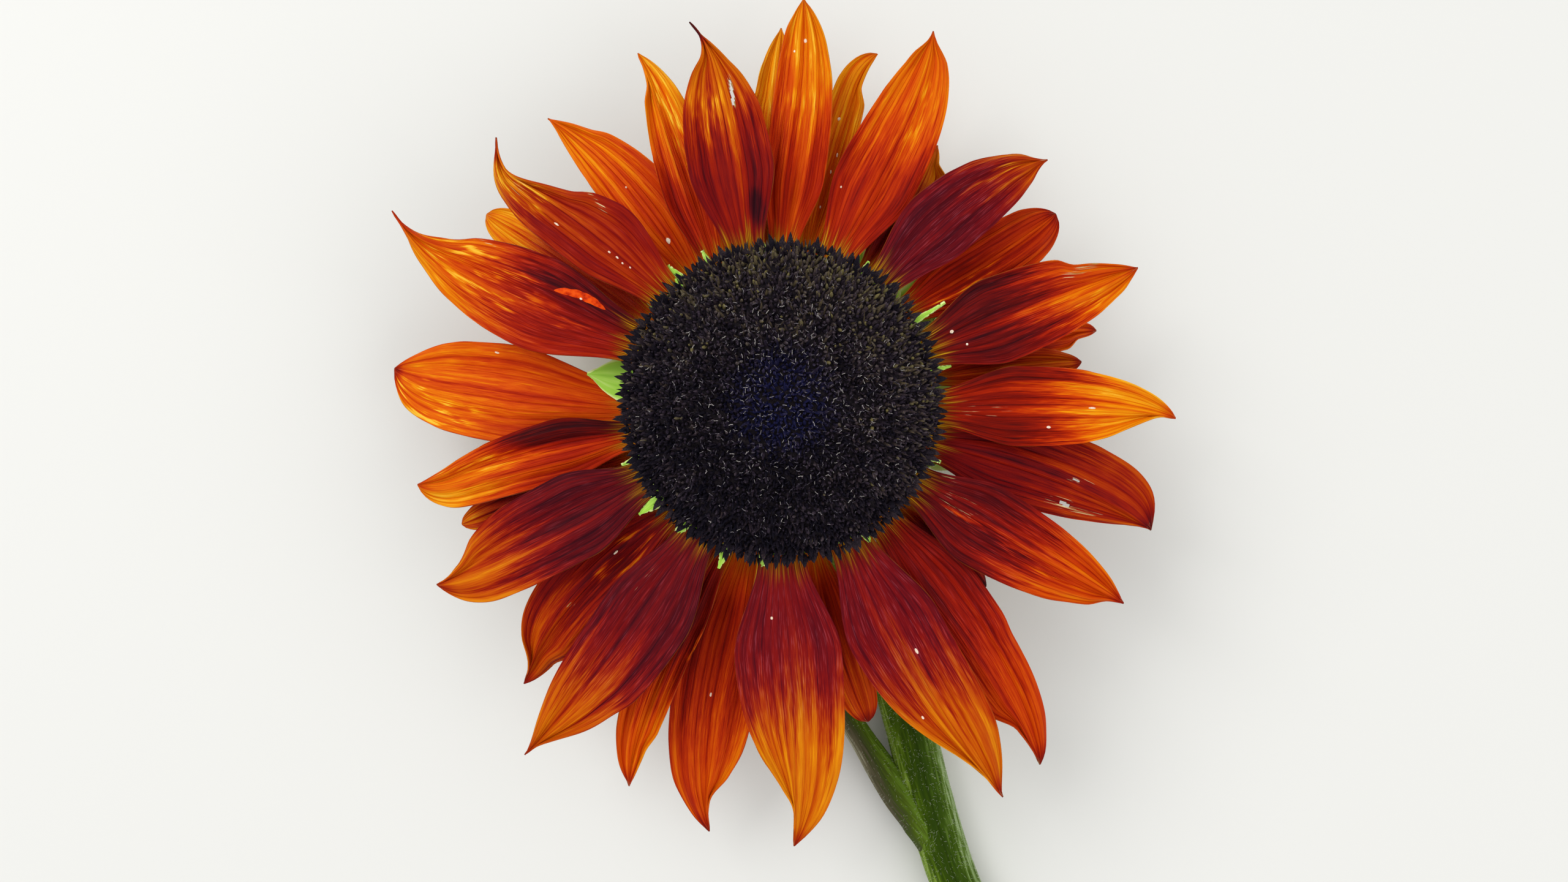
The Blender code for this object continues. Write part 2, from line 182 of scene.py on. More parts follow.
def shell(middle, thickness, kept=None):
    """A closed thin shell round a grid of points: the grid moved half the thickness each way along its
    normals, with a wall wherever a kept cell has no kept neighbour. Gives points and face arrays."""
    rows, columns = middle.shape[:2]
    along, across = np.gradient(middle, axis=0), np.gradient(middle, axis=1)
    half = 0.5 * thickness * unit(np.cross(across, along))
    if kept is None:
        kept = np.ones((rows - 1, columns - 1), bool)
    top = grid_faces(rows, columns)[kept.ravel()]
    below = rows * columns
    number = np.arange(below).reshape(rows, columns)
    padded = np.pad(kept, 1)
    walls = []
    for step_row, step_column, first, second in (
        (-1, 0, (0, 0), (0, 1)),
        (1, 0, (1, 1), (1, 0)),
        (0, -1, (1, 0), (0, 0)),
        (0, 1, (0, 1), (1, 1)),
    ):
        beside = padded[1 + step_row : rows + step_row, 1 + step_column : columns + step_column]
        row, column = np.nonzero(kept & ~beside)
        a, b = number[row + first[0], column + first[1]], number[row + second[0], column + second[1]]
        walls.append(np.stack([b, a, a + below, b + below], axis=-1))
    return np.concatenate([middle + half, middle - half]).reshape(-1, 3), [top, top[:, ::-1] + below, *walls]


def both_faces(uv):
    """A grid's UV as a list of pairs, once for the upper face of a shell and once for the lower."""
    return np.tile(np.stack(uv, axis=-1).reshape(-1, 2), (2, 1))


def new_sheet(name, middle, thickness, *made_of, kept=None, uv=None, under=0.0, **values):
    """A piece that is a shell round a grid of points. UV and values are given on the grid and go to both
    faces, and under is how strongly the lower face shows as one. Made_of goes on to new_piece."""
    points, faces = shell(middle, thickness, kept)
    values = {label: np.tile(value.ravel(), 2) for label, value in values.items()}
    if under:
        values["under"] = np.repeat([0.0, under], len(points) // 2)
    return new_piece(name, points, faces, *made_of, uv=None if uv is None else both_faces(uv), **values)


def scatter(points, faces, places, axes, sizes):
    """Copies of a small shape, joined: each point times its copy's size, turned by its axes, then moved."""
    scaled = points[None] * sizes[:, None]
    moved = np.einsum("nij,nkj->nki", axes, scaled) + places[:, None]
    shifts = (np.arange(len(places)) * len(points))[:, None, None]
    return moved.reshape(-1, 3), (faces[None] + shifts).reshape(-1, faces.shape[1])


def sized(wide, deep, tall):
    """The sizes of copies in their own three directions; a single number goes for all of them."""
    return np.stack(np.broadcast_arrays(wide, deep, tall), axis=-1)


def axes_from(up, towards):
    """Right, forward and up axes as columns: up is kept, and forward is the part of towards square to it."""
    up, towards = np.broadcast_arrays(unit(up), towards)
    right = unit(np.cross(towards, up))
    return np.stack([right, np.cross(up, right), up], axis=-1)


print("piece helpers ready")

# %% [markdown]
# Colours are written as sRGB hex, as a colour picker shows them, and Blender's sockets want linear light,
# so one function converts them. Another adds any node, with its settings, its inputs and, for a colour
# ramp, its stops. The short ones after it give the kinds of node that nearly every skin uses.

# %% Helpers for materials
MIX_FACTOR, MIX_A, MIX_B, MIX_RESULT = 0, 6, 7, 2  # sockets of a colour Mix node, by number


def colour(hex_code):
    """Each sRGB channel to linear: ((c + 0.055) / 1.055) ^ 2.4, or c / 12.92 in the darkest part."""
    channels = [int(hex_code[i : i + 2], 16) / 255 for i in (1, 3, 5)]
    return (*[c / 12.92 if c <= 0.04045 else ((c + 0.055) / 1.055) ** 2.4 for c in channels], 1)


def add_node(tree, kind, out, inputs=None, stops=(), **settings):
    """Adds a node and gives one of its outputs. Each input is a value, or another node's output to link
    from, and stops are a ramp's pairs of place and colour."""
    made = tree.nodes.new("ShaderNode" + kind)
    for label, value in settings.items():
        setattr(made, label, value)
    for label, value in (inputs or {}).items():
        if isinstance(value, bpy.types.NodeSocket):
            tree.links.new(value, made.inputs[label])
        else:
            made.inputs[label].default_value = value
    if stops:
        elements = made.color_ramp.elements
        while len(elements) < len(stops):
            elements.new(0.5)
        for element, (place, hex_code) in zip(elements, stops):
            element.position = place
            element.color = colour(hex_code)
    return made.outputs[out]


def new_material(name, inputs):
    """An empty Principled material with plain values on its shader, and its tree."""
    made = bpy.data.materials.new(name)
    made.use_nodes = True
    for label, value in inputs.items():
        made.node_tree.nodes["Principled BSDF"].inputs[label].default_value = value
    return made, made.node_tree


def cover(tree, base, height=None, strength=0.0, depth=0.0):
    """Gives the shader its base colour, and where there is a height, a bump of that strength and depth."""
    shader = tree.nodes["Principled BSDF"]
    tree.links.new(base, shader.inputs["Base Color"])
    if height is not None:
        bump = {"Height": height, "Strength": strength, "Distance": depth}
        tree.links.new(add_node(tree, "Bump", "Normal", bump), shader.inputs["Normal"])


def carried(tree, label):
    """A value that the mesh carries on its points."""
    return add_node(tree, "Attribute", "Fac", attribute_name=label)


def reckon(tree, a, b, c=0.0, clamp=False, operation="MULTIPLY_ADD"):
    """a times b plus c, unless another operation is named; clamp keeps it between 0 and 1."""
    return add_node(tree, "Math", 0, {0: a, 1: b, 2: c}, operation=operation, use_clamp=clamp)


def ramp(tree, value, *stops):
    """The colour that a value picks between stops of (place, colour)."""
    return add_node(tree, "ValToRGB", "Color", {"Fac": value}, stops)


def mix(tree, factor, under, over):
    """One colour over another: a factor of 0 shows the lower and 1 the upper."""
    inputs = {MIX_FACTOR: factor, MIX_A: under, MIX_B: over}
    return add_node(tree, "Mix", MIX_RESULT, inputs, data_type="RGBA")


def noise(tree, size, detail=2.0):
    """Soft noise in the piece's own space, with lumps of about the size given."""
    place = add_node(tree, "TexCoord", "Object")
    return add_node(tree, "TexNoise", "Fac", {"Vector": place, "Scale": 1 / size, "Detail": detail})


def stretched(tree, width, length):
    """Places on the piece's own UV map, counted in widths across and in lengths along."""
    uv = add_node(tree, "UVMap", "UV", uv_map="own_uv")
    return add_node(tree, "Mapping", "Vector", {"Vector": uv, "Scale": (1 / width, 1 / length, 1)})


def streaks(tree, width, length, detail=2.0, roughness=0.5):
    """Noise stretched along the piece into streaks of about this width and length."""
    place = stretched(tree, width, length)
    inputs = {"Vector": place, "Scale": 1.0, "Detail": detail, "Roughness": roughness}
    return add_node(tree, "TexNoise", "Fac", inputs)


def lumpy_material(name, inputs, size, *stops):
    """A plain skin whose colour runs through the stops by soft noise of one size."""
    made, tree = new_material(name, inputs)
    cover(tree, ramp(tree, noise(tree, size), *stops))
    return made


print("material helpers ready")

# %% [markdown]
# ## The petals
# A sunflower's petals are ray florets: thin satin blades with lengthwise veins, set in rows behind the
# disc. Every one in this bloom is different, so each has a line in a table: where it points, how its two
# edges run, and which row it sits in. The table is the solid model's own, so that a dressed petal
# stays exactly where its solid is.

# %% The petals' table
PETAL_ROOT = 31.8 * MM
ROOT_WIDTH = 0.45  # share of the full width at the root
TIP_HALF_WIDTH = 0.15 * MM
ROW_HEIGHT = np.array([-7.9, -4.9, -1.9]) * MM
ROW_LIFT = np.array([-2, 2, 5]) * MM
ROW_DROOP = np.array([11, 8, 8]) * MM
PETAL_CUP = 1.0 * MM
HOOK_FROM = 0.8

# Clock angles at the root, middle and tip, the tip's hook in degrees and its distance in millimetres, the
# left and right edge (half width in millimetres, shoulder, sharpness), the row, the finish, and where along
# its length the petal is widest.
Ray = namedtuple("Ray", "root middle tip hook reach left right row finish full_at", defaults=(0.34,))
RAYS = (
    Ray(0.5, 4.2, 3.2, 0, 88.0, (6.6, 7, 0.9), (6.5, 4.3, 0.9), 1, "orange", 0.3),
    Ray(10, 12.2, 13.8, 1.5, 82.3, (4.9, 10, 0.7), (4, 3.5, 0.7), 0, "gold"),
    Ray(20, 23.4, 22.6, -0.4, 87.4, (8.5, 4.2, 1), (8.9, 5, 1), 1, "orange"),
    Ray(32.5, 33.3, 31, 0, 68.5, (4, 5, 1), (6, 7, 1), 0, "crimson"),
    Ray(40, 42.2, 46.6, 1, 76.4, (7.7, 5, 1.3), (7.8, 5.5, 0.9), 2, "crimson", 0.4),
    Ray(53.5, 55.5, 55.3, 0, 72.5, (6.6, 8, 0.7), (6.6, 8, 0.6), 1, "orange"),
    Ray(69.8, 69.1, 69.2, 0, 80.8, (9.1, 4, 1.1), (9.1, 4, 0.9), 2, "orange"),
    Ray(76, 75.5, 76.6, 0, 73.1, (3.8, 6, 0.6), (3.8, 8, 0.6), 0, "gold"),
    Ray(80.5, 80.8, 82, 0, 65.8, (3.8, 5, 0.8), (3.8, 8, 0.7), 1, "crimson"),
    Ray(92, 90.8, 92.2, 0, 83.6, (8.4, 4, 0.75), (8.3, 7, 3.5), 2, "gold"),
    Ray(104.5, 105, 108.8, 0, 84.8, (9.6, 14, 1), (8.6, 4.5, 1.4), 1, "crimson"),
    Ray(121, 121.4, 120.3, 0, 84.0, (9, 4.6, 1), (9, 3.6, 1.1), 2, "orange"),
    Ray(130.5, 131.5, 131.5, 0, 61.7, (3.3, 6, 0.7), (3.3, 6, 0.7), 0, "crimson"),
    Ray(139, 140.8, 144.3, 0, 96.3, (8.4, 6, 0.8), (8, 7, 2.2), 1, "orange"),
    Ray(153.5, 153, 150.6, 0, 95.7, (10, 8, 1.4), (10.2, 5, 4), 2, "crimson"),
    Ray(167, 166, 164.6, 0, 74.0, (4.8, 9, 0.6), (4.8, 9, 0.6), 0, "gold"),
    Ray(180, 178, 178.3, 0, 93.8, (11.2, 6, 1), (11.2, 6, 5), 2, "crimson"),
    Ray(193, 193.2, 189.6, 0, 97.5, (9.6, 8, 3.6), (9, 7, 1), 0, "orange"),
    Ray(202, 204, 201.7, 0, 89.2, (4.4, 7, 1), (6, 8, 1.1), 1, "gold"),
    Ray(212.5, 213, 216.1, 0, 92.1, (9.6, 7, 3), (9.1, 6, 1.5), 2, "crimson"),
    Ray(225, 226.5, 222.6, 0, 82.4, (7.5, 9, 0.8), (8.6, 10, 4), 1, "crimson"),
    Ray(240.5, 241.3, 242.2, 0, 82.4, (9, 10, 0.9), (9.2, 7, 2.5), 2, "crimson"),
    Ray(249.5, 249.7, 249.6, 0, 76.9, (3.8, 9, 0.6), (3.8, 9, 0.6), 0, "gold"),
    Ray(258, 258, 256.1, 1.4, 80.8, (7, 10, 0.8), (6.8, 2.6, 0.8), 1, "orange"),
    Ray(268.5, 272.5, 274.5, 1, 87.7, (11.1, 8, 0.8), (10.5, 6, 0.8), 0, "gold", 0.5),
    Ray(292.5, 292.3, 295, 1.3, 91.9, (10, 5, 2.4), (10.4, 5, 2.6), 2, "orange", 0.4),
    Ray(302, 303, 303, 0, 79.3, (5.2, 9, 0.6), (5.2, 9, 0.6), 0, "gold"),
    Ray(312.5, 311.3, 309, 4, 82.5, (7.3, 9, 2.6), (9.6, 4, 4.6), 2, "crimson", 0.4),
    Ray(326, 325.5, 320.9, 0, 83.5, (7.6, 4.5, 1.2), (7.8, 3.5, 1.3), 0, "gold"),
    Ray(334.5, 337.3, 337.8, 0, 82.2, (5.6, 5, 2.5), (6.2, 6, 1), 1, "gold"),
    Ray(347, 348.3, 348.3, -1.8, 83.0, (8.9, 7, 4), (8.9, 7, 4), 2, "crimson", 0.36),
    Ray(357, 358.5, 360, 0, 85.2, (6, 5, 1), (4.8, 5, 1), 0, "gold"),
)
print(len(RAYS), "petals in the table")

# %% [markdown]
# The outline follows three ideas: a middle line that may curve and hook, a half width that grows from the
# root and falls off at a shoulder, and a height that arches up and droops. Real petals also have two or
# three soft folds, a row of fine ribs and wavy edges. Those are made in the mesh and not only as bump,
# because they break up the highlights and show in the silhouette.

# %% The petals' shape
FOLD_DEPTH = 0.5 * MM
RIB_COUNT = 9
RIB_DEPTH = 0.1 * MM
RUFFLE = 0.6 * MM
PETAL_THICKNESS = 0.32 * MM
PETAL_ROWS, PETAL_COLUMNS = 66, 57
NIP_LENGTH = 0.09  # share of the petal's length over which a nip deepens

# Where an edge is nipped in toward the tip: petal, side (-1 left, 1 right), share of the length, depth.
NIPS = (
    (2, 1, 0.72, 0.55), (3, -1, 0.9, 0.45), (3, 1, 0.88, 0.4), (4, 1, 0.78, 0.6), (5, -1, 0.9, 0.4),
    (5, 1, 0.9, 0.4), (7, -1, 0.66, 0.2), (8, 1, 0.8, 0.5), (12, 1, 0.86, 0.4), (14, -1, 0.48, 0.08),
    (14, 1, 0.76, 0.55), (17, 1, 0.8, 0.6), (18, -1, 0.8, 0.55), (19, -1, 0.76, 0.3), (20, -1, 0.6, 0.06),
    (21, -1, 0.78, 0.3), (21, 1, 0.82, 0.5), (22, 1, 0.78, 0.25), (26, 1, 0.68, 0.16), (28, 1, 0.5, 0.15),
    (29, 1, 0.72, 0.15), (30, -1, 0.76, 0.45), (31, -1, 0.76, 0.2), (31, 1, 0.88, 0.4), (32, -1, 0.6, 0.12),
)


def middle_line(ray, along):
    """Radius grows evenly to the reach; the clock angle is a parabola, plus a hook squared near the tip."""
    radius = PETAL_ROOT + (ray.reach * MM - PETAL_ROOT) * along
    clock = quadratic(ray.root, ray.middle, ray.tip, along)
    return radius, clock + ray.hook * (np.maximum(0, along - HOOK_FROM) / (1 - HOOK_FROM)) ** 2


def half_width(ray, along, across):
    """Full width times (0.45 rising to 1) times (1 - along^shoulder)^sharpness, for each side on its own,
    and less again beyond a nip."""

    def side(edge):
        width, shoulder, sharpness = edge
        widening = ROOT_WIDTH + (1 - ROOT_WIDTH) * smoothstep(along / ray.full_at)
        return width * MM * widening * (1 - np.clip(along, 0, 1) ** shoulder) ** sharpness

    half = np.where(across < 0, side(ray.left), side(ray.right))
    for petal, way, start, depth in NIPS:
        if RAYS[petal - 1] is ray:
            half = half * (1 - depth * smoothstep((along - start) / NIP_LENGTH) * (across * way > 0))
    return np.maximum(TIP_HALF_WIDTH, half)


def petal_ribs(number, along, across):
    """Cosines across, of uneven height, that bend a little along the petal: 1 on a rib and -1 in a crease."""
    rng = np.random.default_rng(300 + number)
    shift, wobble = rng.uniform(0, 2 * np.pi, 2)
    bent = across + 0.03 * np.sin(5 * along + wobble) + 0.05 * waves(across, rng, 1.3, 0.5, 3)
    return np.cos(np.pi * RIB_COUNT * bent + shift) * (0.65 + 0.35 * np.sin(9 * across + shift))


def petal_relief(number, along, across):
    """Height above the plain blade: cosine folds across, finer ribs that fade at root and tip, wavy edges."""
    rng = np.random.default_rng(number)
    shift = rng.uniform(0, 2 * np.pi)
    body = smoothstep(along / 0.25) * smoothstep((1 - along) / 0.12)
    folds = FOLD_DEPTH * np.cos(np.pi * (2.3 + rng.uniform(-0.4, 0.5)) * across + shift)
    ribs = RIB_DEPTH * petal_ribs(number, along, across)
    edge = RUFFLE * np.abs(across) ** 4 * waves(along + 0.1 * np.sign(across), rng, 0.7, 0.16, 4)
    return (folds + ribs + edge) * body


def petal_surface(number, ray, along, across):
    """The point beside the middle line by the half width times across, at the row's height plus relief."""
    small = 0.01
    before, after = (from_clock(*middle_line(ray, along + step)) for step in (-small, small))
    ahead = unit(after - before)
    clockwise = np.stack([ahead[..., 1], -ahead[..., 0]], axis=-1)
    flat = from_clock(*middle_line(ray, along))
    flat = flat + clockwise * (half_width(ray, along, across) * across)[..., None]
    height = ROW_HEIGHT[ray.row] + ROW_LIFT[ray.row] * along - ROW_DROOP[ray.row] * along**2
    height = height + PETAL_CUP * across**2 * np.sin(np.pi * along) + petal_relief(number, along, across)
    return raised(flat, height) + HEAD


def along_and_aside(ray, radius, clock):
    """Where a place of the head is on a petal: its share of the length, and how far it is from the middle
    line, which is the radius times the angle between them."""
    along = (radius - PETAL_ROOT) / (ray.reach * MM - PETAL_ROOT)
    middle = middle_line(ray, np.clip(along, 0, 1))[1]
    return along, np.radians((clock - middle + 180) % 360 - 180) * radius


print("petal grid", PETAL_ROWS, "by", PETAL_COLUMNS)

# %% [markdown]
# Seen against the light, a petal glows where nothing lies behind it and is dark where another petal backs
# it. The lamps here shine from above, so that glow and that shade are painted into the colour as a light
# value on each point. That contrast is most of what makes the bloom look alive, so it is worked out and not
# guessed: for each point of a petal, is it inside the outline of a petal in a row behind? Each petal also has
# its own ripeness, a dark heart that turns to orange at its own distance from the disc, and the same light
# value carries it, so the petal's own colour and the painted light go together.

# %% How the light falls through the petals
BACKED_EDGE = 2.4 * MM  # over which the shade of the petal behind fades in
BACKED_SHADE = 0.22
TIP_SHADE = 0.2
TIPS_LIT_AT = 330  # clock angle of the petals whose tips are lightest
ROOT_GLOW = (0.66, 0.3, 0.0)  # painted glow: least light at the root in each row, as where the sun comes through a gap
# The light in the heart and further out, painted light together with the petal's own maroon to orange,
# where along the petal it turns, how pink the heart is, and how much lighter the right side is than the left
# by painted light. One for each petal, in their order.
Look = namedtuple("Look", "heart outer turn blush side", defaults=(0.0, 0.0))
LOOKS = [Look(*row) for row in (
    (0.58, 0.82, 0.5), (0.67, 0.8, 0.45), (0.46, 0.72, 0.5), (0.33, 0.79, 0.62, 0.6), (0.2, 0.66, 0.77, 0.5),
    (0.4, 0.52, 0.6), (0.23, 0.71, 0.56, 0.1, 0.08), (0.31, 0.61, 0.66, 0.1), (0.5, 0.6, 0.5),
    (0.32, 0.84, 0.53), (0.27, 0.47, 0.58), (0.2, 0.63, 0.55, 0.2), (0.22, 0.27, 0.6, 0.3),
    (0.31, 0.57, 0.54, 0.2, -0.05), (0.28, 0.69, 0.48, 0.5), (0.4, 0.6, 0.6), (0.3, 0.75, 0.47, 0.5),
    (0.42, 0.63, 0.6, 0.0, -0.06), (0.27, 0.69, 0.56, 0.1, -0.08), (0.23, 0.68, 0.6, 0.3), (0.27, 0.59, 0.66),
    (0.17, 0.67, 0.6, 0.2), (0.12, 0.98, 0.84, 0.3), (0.49, 0.78, 0.6, 0.0, -0.12), (0.61, 0.71, 0.6),
    (0.35, 0.73, 0.51, 0.2, -0.06), (0.56, 0.86, 0.66, 0.6), (0.49, 0.88, 0.78, 0.1), (0.57, 0.75, 0.58),
    (0.48, 0.8, 0.52, 0.1, 0.05), (0.36, 0.66, 0.55), (0.62, 0.87, 0.52),
)]


def share_inside(ray, flat):
    """1 inside a petal's outline and 0 outside: its distance inside the nearer edge, smoothed."""
    clock = np.degrees(np.arctan2(flat[..., 0], flat[..., 1]))
    along, aside = along_and_aside(ray, np.hypot(flat[..., 0], flat[..., 1]), clock)
    room = half_width(ray, np.clip(along, 0, 1), aside) - np.abs(aside)
    return smoothstep(0.5 + room / BACKED_EDGE) * smoothstep((1 - along) / 0.02)


def backing(row, flat):
    """The greatest share by which any petal of a row behind covers each point."""
    behind = [share_inside(ray, flat) for ray in RAYS if ray.row < row]
    return np.max(behind, axis=0) if behind else np.zeros(flat.shape[:-1])


def petal_light(number, ray, look, along, across):
    """The painted light: the heart's light rising to the outer light round the turn, a little more at the
    edges and on ribs, painted shade in the creases, less at the tip, and least at the tips far from the lit
    side.
    Gives the light, and how near the turn each point is."""
    rng = np.random.default_rng(100 + number)
    turn = look.turn + 0.09 * waves(across, rng, 1.1, 0.24, 5)
    passed = smoothstep((along - turn) / 0.5 + 0.5)
    light = look.heart + (look.outer - look.heart) * passed
    light = light + 0.05 * np.abs(across) ** 3 * smoothstep((along - 0.3) / 0.4) + look.side * across
    light = light + 0.06 * waves(across, rng, 0.9, 0.35, 3) * smoothstep(along / 0.3)
    # Painted light on the ribs and painted shade in the creases.
    crease_shading = 0.04 * petal_ribs(number, along, across) * smoothstep(along / 0.2)
    # Painted shade at the tips, deepest on the side away from the light.
    tip_shade_depth = TIP_SHADE * (1 - 0.6 * math.cos(math.radians(ray.root - TIPS_LIT_AT)))
    light = light + crease_shading - tip_shade_depth * smoothstep((along - 0.91) / 0.09)
    contrast = np.clip((look.outer - look.heart) / 0.45, 0, 1)
    return light, 2.2 * contrast * passed * (1 - passed) * smoothstep(along / 0.2)


print("light worked out for", len(LOOKS), "petals")

# %% [markdown]
# The petal material is a satin one: plant skin has an IOR near 1.4 and a soft gloss. Its colour comes from
# one ramp, from maroon through crimson and orange to yellow, that reads the light. Streaks are noise
# stretched along the petal on its own UV map, of four kinds: broad flames, short patches, veins half a
# millimetre wide and hair-fine lines. Toward the disc the flames turn ochre. The undersides are duller.

# %% The petals' materials
STREAKS = {  # width, length, and how far it moves the light
    "flame": (2.2 * MM, 44 * MM, 0.22),
    "vein": (0.46 * MM, 24 * MM, 0.17),
    "fine": (0.2 * MM, 5 * MM, 0.31),
    "patch": (1.5 * MM, 9 * MM, 0.16),
}
DARK_VEIN_GAP = 1.5 * MM  # from one dark vein to the next
DARK_VEIN_LENGTH = 70 * MM  # over which it keeps its place
DARK_VEIN_DEPTH = 0.18
WAVE_PERIOD = 0.314  # of a Wave Texture node at a scale of 1
PETAL_RAMPS = {
    "gold": "#2C060A #4E0A08 #7C1004 #A01E02 #BE3402 #D65202 #E47602 #EE9A08 #F8C43A",
    "orange": "#2A060C #4C080A #780E05 #9C1A03 #BA3202 #D04E02 #DE7002 #E89208 #F4BA34",
    "crimson": "#280610 #4A0810 #740C0C #931906 #AD3403 #C35502 #D47504 #E4920A #F2B630",
}
RAMP_PLACES = (0.0, 0.12, 0.27, 0.41, 0.54, 0.67, 0.79, 0.9, 1.0)


def petal_material(finish):
    """Painted light and streaks add up and pick the colour; the streaks are strongest where the heart frays
    into the outer part, and yellow-veined places add painted glints. Blush with its dust, ochre root, dry
    spots and underside mix in."""
    look = {"Roughness": 0.55, "IOR": 1.4, "Specular IOR Level": 0.07}
    made, tree = new_material(f"satin_petal_{finish}", look)
    work = partial(reckon, tree)
    labels = ("light", "fray", "gilt", "blush", "root", "dry", "under")
    total, fray, gilt, blush, root, dry, under = (carried(tree, label) for label in labels)
    kinds = {}
    for label, (width, length, weight) in STREAKS.items():
        kinds[label] = streaks(tree, width, length, roughness=0.55)
        total = work(work(kinds[label], 1.0, -0.5), weight, total)
    flame, vein, fine, patch = kinds.values()
    place = stretched(tree, DARK_VEIN_GAP / WAVE_PERIOD, DARK_VEIN_LENGTH / WAVE_PERIOD)
    look = {"Vector": place, "Scale": 1.0, "Distortion": 5.0, "Detail": 2.0, "Detail Scale": 1.5}
    wave = add_node(tree, "TexWave", "Fac", look)
    line = work(work(work(wave, 7.0, operation="POWER"), flame), work(root, -1.0, 1.0))
    total = work(line, -DARK_VEIN_DEPTH, total)
    total = work(work(vein, 0.4, work(fine, 1.1, -0.75)), fray, total)
    # Painted glints: short yellow patches where a petal has yellow veins and light comes through.
    glint = work(patch, 4.5, work(fine, 1.6, -3.15), clamp=True)
    total = work(glint, gilt, total)
    base = ramp(tree, total, *zip(RAMP_PLACES, PETAL_RAMPS[finish].split()))
    ochre = ramp(tree, vein, (0.36, "#6A3204"), (0.5, "#A66A08"), (0.66, "#DAA61C"))
    dried = ramp(tree, fine, (0.3, "#6E5420"), (0.5, "#AA8A44"), (0.7, "#E4D2A4"))
    rooted = work(work(work(flame, 1.0, vein), 6.0, -5.1), root, clamp=True)
    thin = work(dry, 6.0, work(work(fine, 1.0, vein), 10.0, -13.0), clamp=True)
    scorched = work(thin, work(dry, 8.0, clamp=True))
    dusty = work(work(fine, 6.0, -3.4, clamp=True), blush)
    for factor, over in (
        (blush, colour("#6A0A1C")),
        (dusty, colour("#B05A6C")),
        (rooted, ochre),
        (scorched, dried),
        (under, colour("#A85A18")),
    ):
        base = mix(tree, factor, base, over)
    cover(tree, base, work(line, -1.5, work(vein, 1.0, fine)), 0.7, 0.16 * MM)
    return made


PETAL_MATERIALS = {finish: petal_material(finish) for finish in PETAL_RAMPS}
print("petal materials:", ", ".join(m.name for m in PETAL_MATERIALS.values()))

# %% [markdown]
# Age and insects leave marks: a torn strip, a dry margin, a patch of yellow veins. Beside them come a dark
# patch of painted shade, and painted glints on the yellow veins where light comes through. Each mark is an
# ellipse on the head, with its length along the spoke of the clock. Inside it the petal is dry, darker by
# painted shade, or yellow-veined with streaks and painted glints. Where it is torn right through, the cells
# of the grid inside the ellipse are left out, and the shell closes round the hole.

# %% Marks on the petals
# For each kind: petal, clock angle, then distance, length and width in millimetres, and strength, 1 if torn.
MARKS = {
    "torn": ((11, 109.5, 63.9, 2.8, 1, 1), (11, 104.6, 65, 3.6, 0.5, 1), (31, 351, 65.6, 6.4, 0.8, 1)),
    "dry": (
        (7, 66.2, 69.5, 12, 2.2, 0.5), (11, 104.4, 65, 8, 1.2, 0.34), (11, 109.4, 65.5, 16, 2.6, 0.34),
        (12, 120.2, 43.2, 12, 4.5, 0.24), (12, 113.9, 37.6, 5, 1.2, 0.36), (31, 351, 65.4, 9, 1.4, 0.7),
        (26, 298.7, 75, 15, 1.1, 0.5), (28, 317.6, 58, 11, 1.3, 0.36), (28, 309.2, 71.6, 3, 7, 0.26),
        (21, 226.3, 62, 2.2, 1.6, 0.44), (20, 217.7, 47.5, 12, 1, 0.2), (10, 92.5, 43, 14, 5, 0.2),
    ),
    # Yellow veins with painted glints and painted lit edges.
    "gilt": (
        (5, 42, 66, 26, 11, 0.4), (6, 57.5, 46, 24, 3.4, 0.7), (7, 73, 66, 30, 7, 0.3),
        (1, 3.5, 70, 26, 14, 0.14), (3, 25.5, 68, 24, 7, 0.26), (12, 122.5, 52, 40, 3, 0.4),
        (19, 199.4, 66, 36, 2.2, 1.4),
        (21, 226, 46, 24, 9, 0.55), (26, 293.5, 66, 34, 12, 0.45), (26, 289.5, 56, 30, 5, 0.35),
        (26, 297.2, 76, 18, 4.5, 0.7), (31, 346.5, 63, 16, 10, 0.34), (30, 339, 66, 30, 4, 0.5),
        (28, 309, 72, 20, 9, 0.7), (24, 259, 66, 30, 5, 0.3), (25, 268.2, 76, 24, 7, 0.5),
        (25, 272.6, 82.5, 12, 11, 0.4), (32, 0.5, 60, 34, 6, 0.35),
    ),
    # Painted shade, which lowers the light value.
    "dark": (
        (24, 262, 45, 40, 6, 0.18), (26, 298, 47, 32, 10, 0.13), (31, 352.9, 41, 9, 4, 0.2),
        (31, 346.8, 81.5, 9, 9, 0.5), (28, 312.4, 80.5, 11, 8, 0.28), (26, 296.2, 90, 12, 8, 0.1),
        (25, 275, 87.4, 3.6, 4, 0.2),
    ),
}
UV_STEP = 60 * MM  # between the petals' places in the streaks, so that no two look alike
UV_HALF_WIDTH = 9 * MM
ROOT_OCHRE = 5.5 * MM  # how far the ochre reaches from the root


def from_mark(points, clock, distance, long, wide):
    """The distance from a mark's middle, as a share of its edge: 1 on the ellipse."""
    spoke, aside = from_clock(1.0, clock), from_clock(1.0, clock + 90)
    away = points[..., :2] - HEAD[:2] - distance * MM * spoke
    return np.hypot(away @ spoke / (0.5 * long * MM), away @ aside / (0.5 * wide * MM))


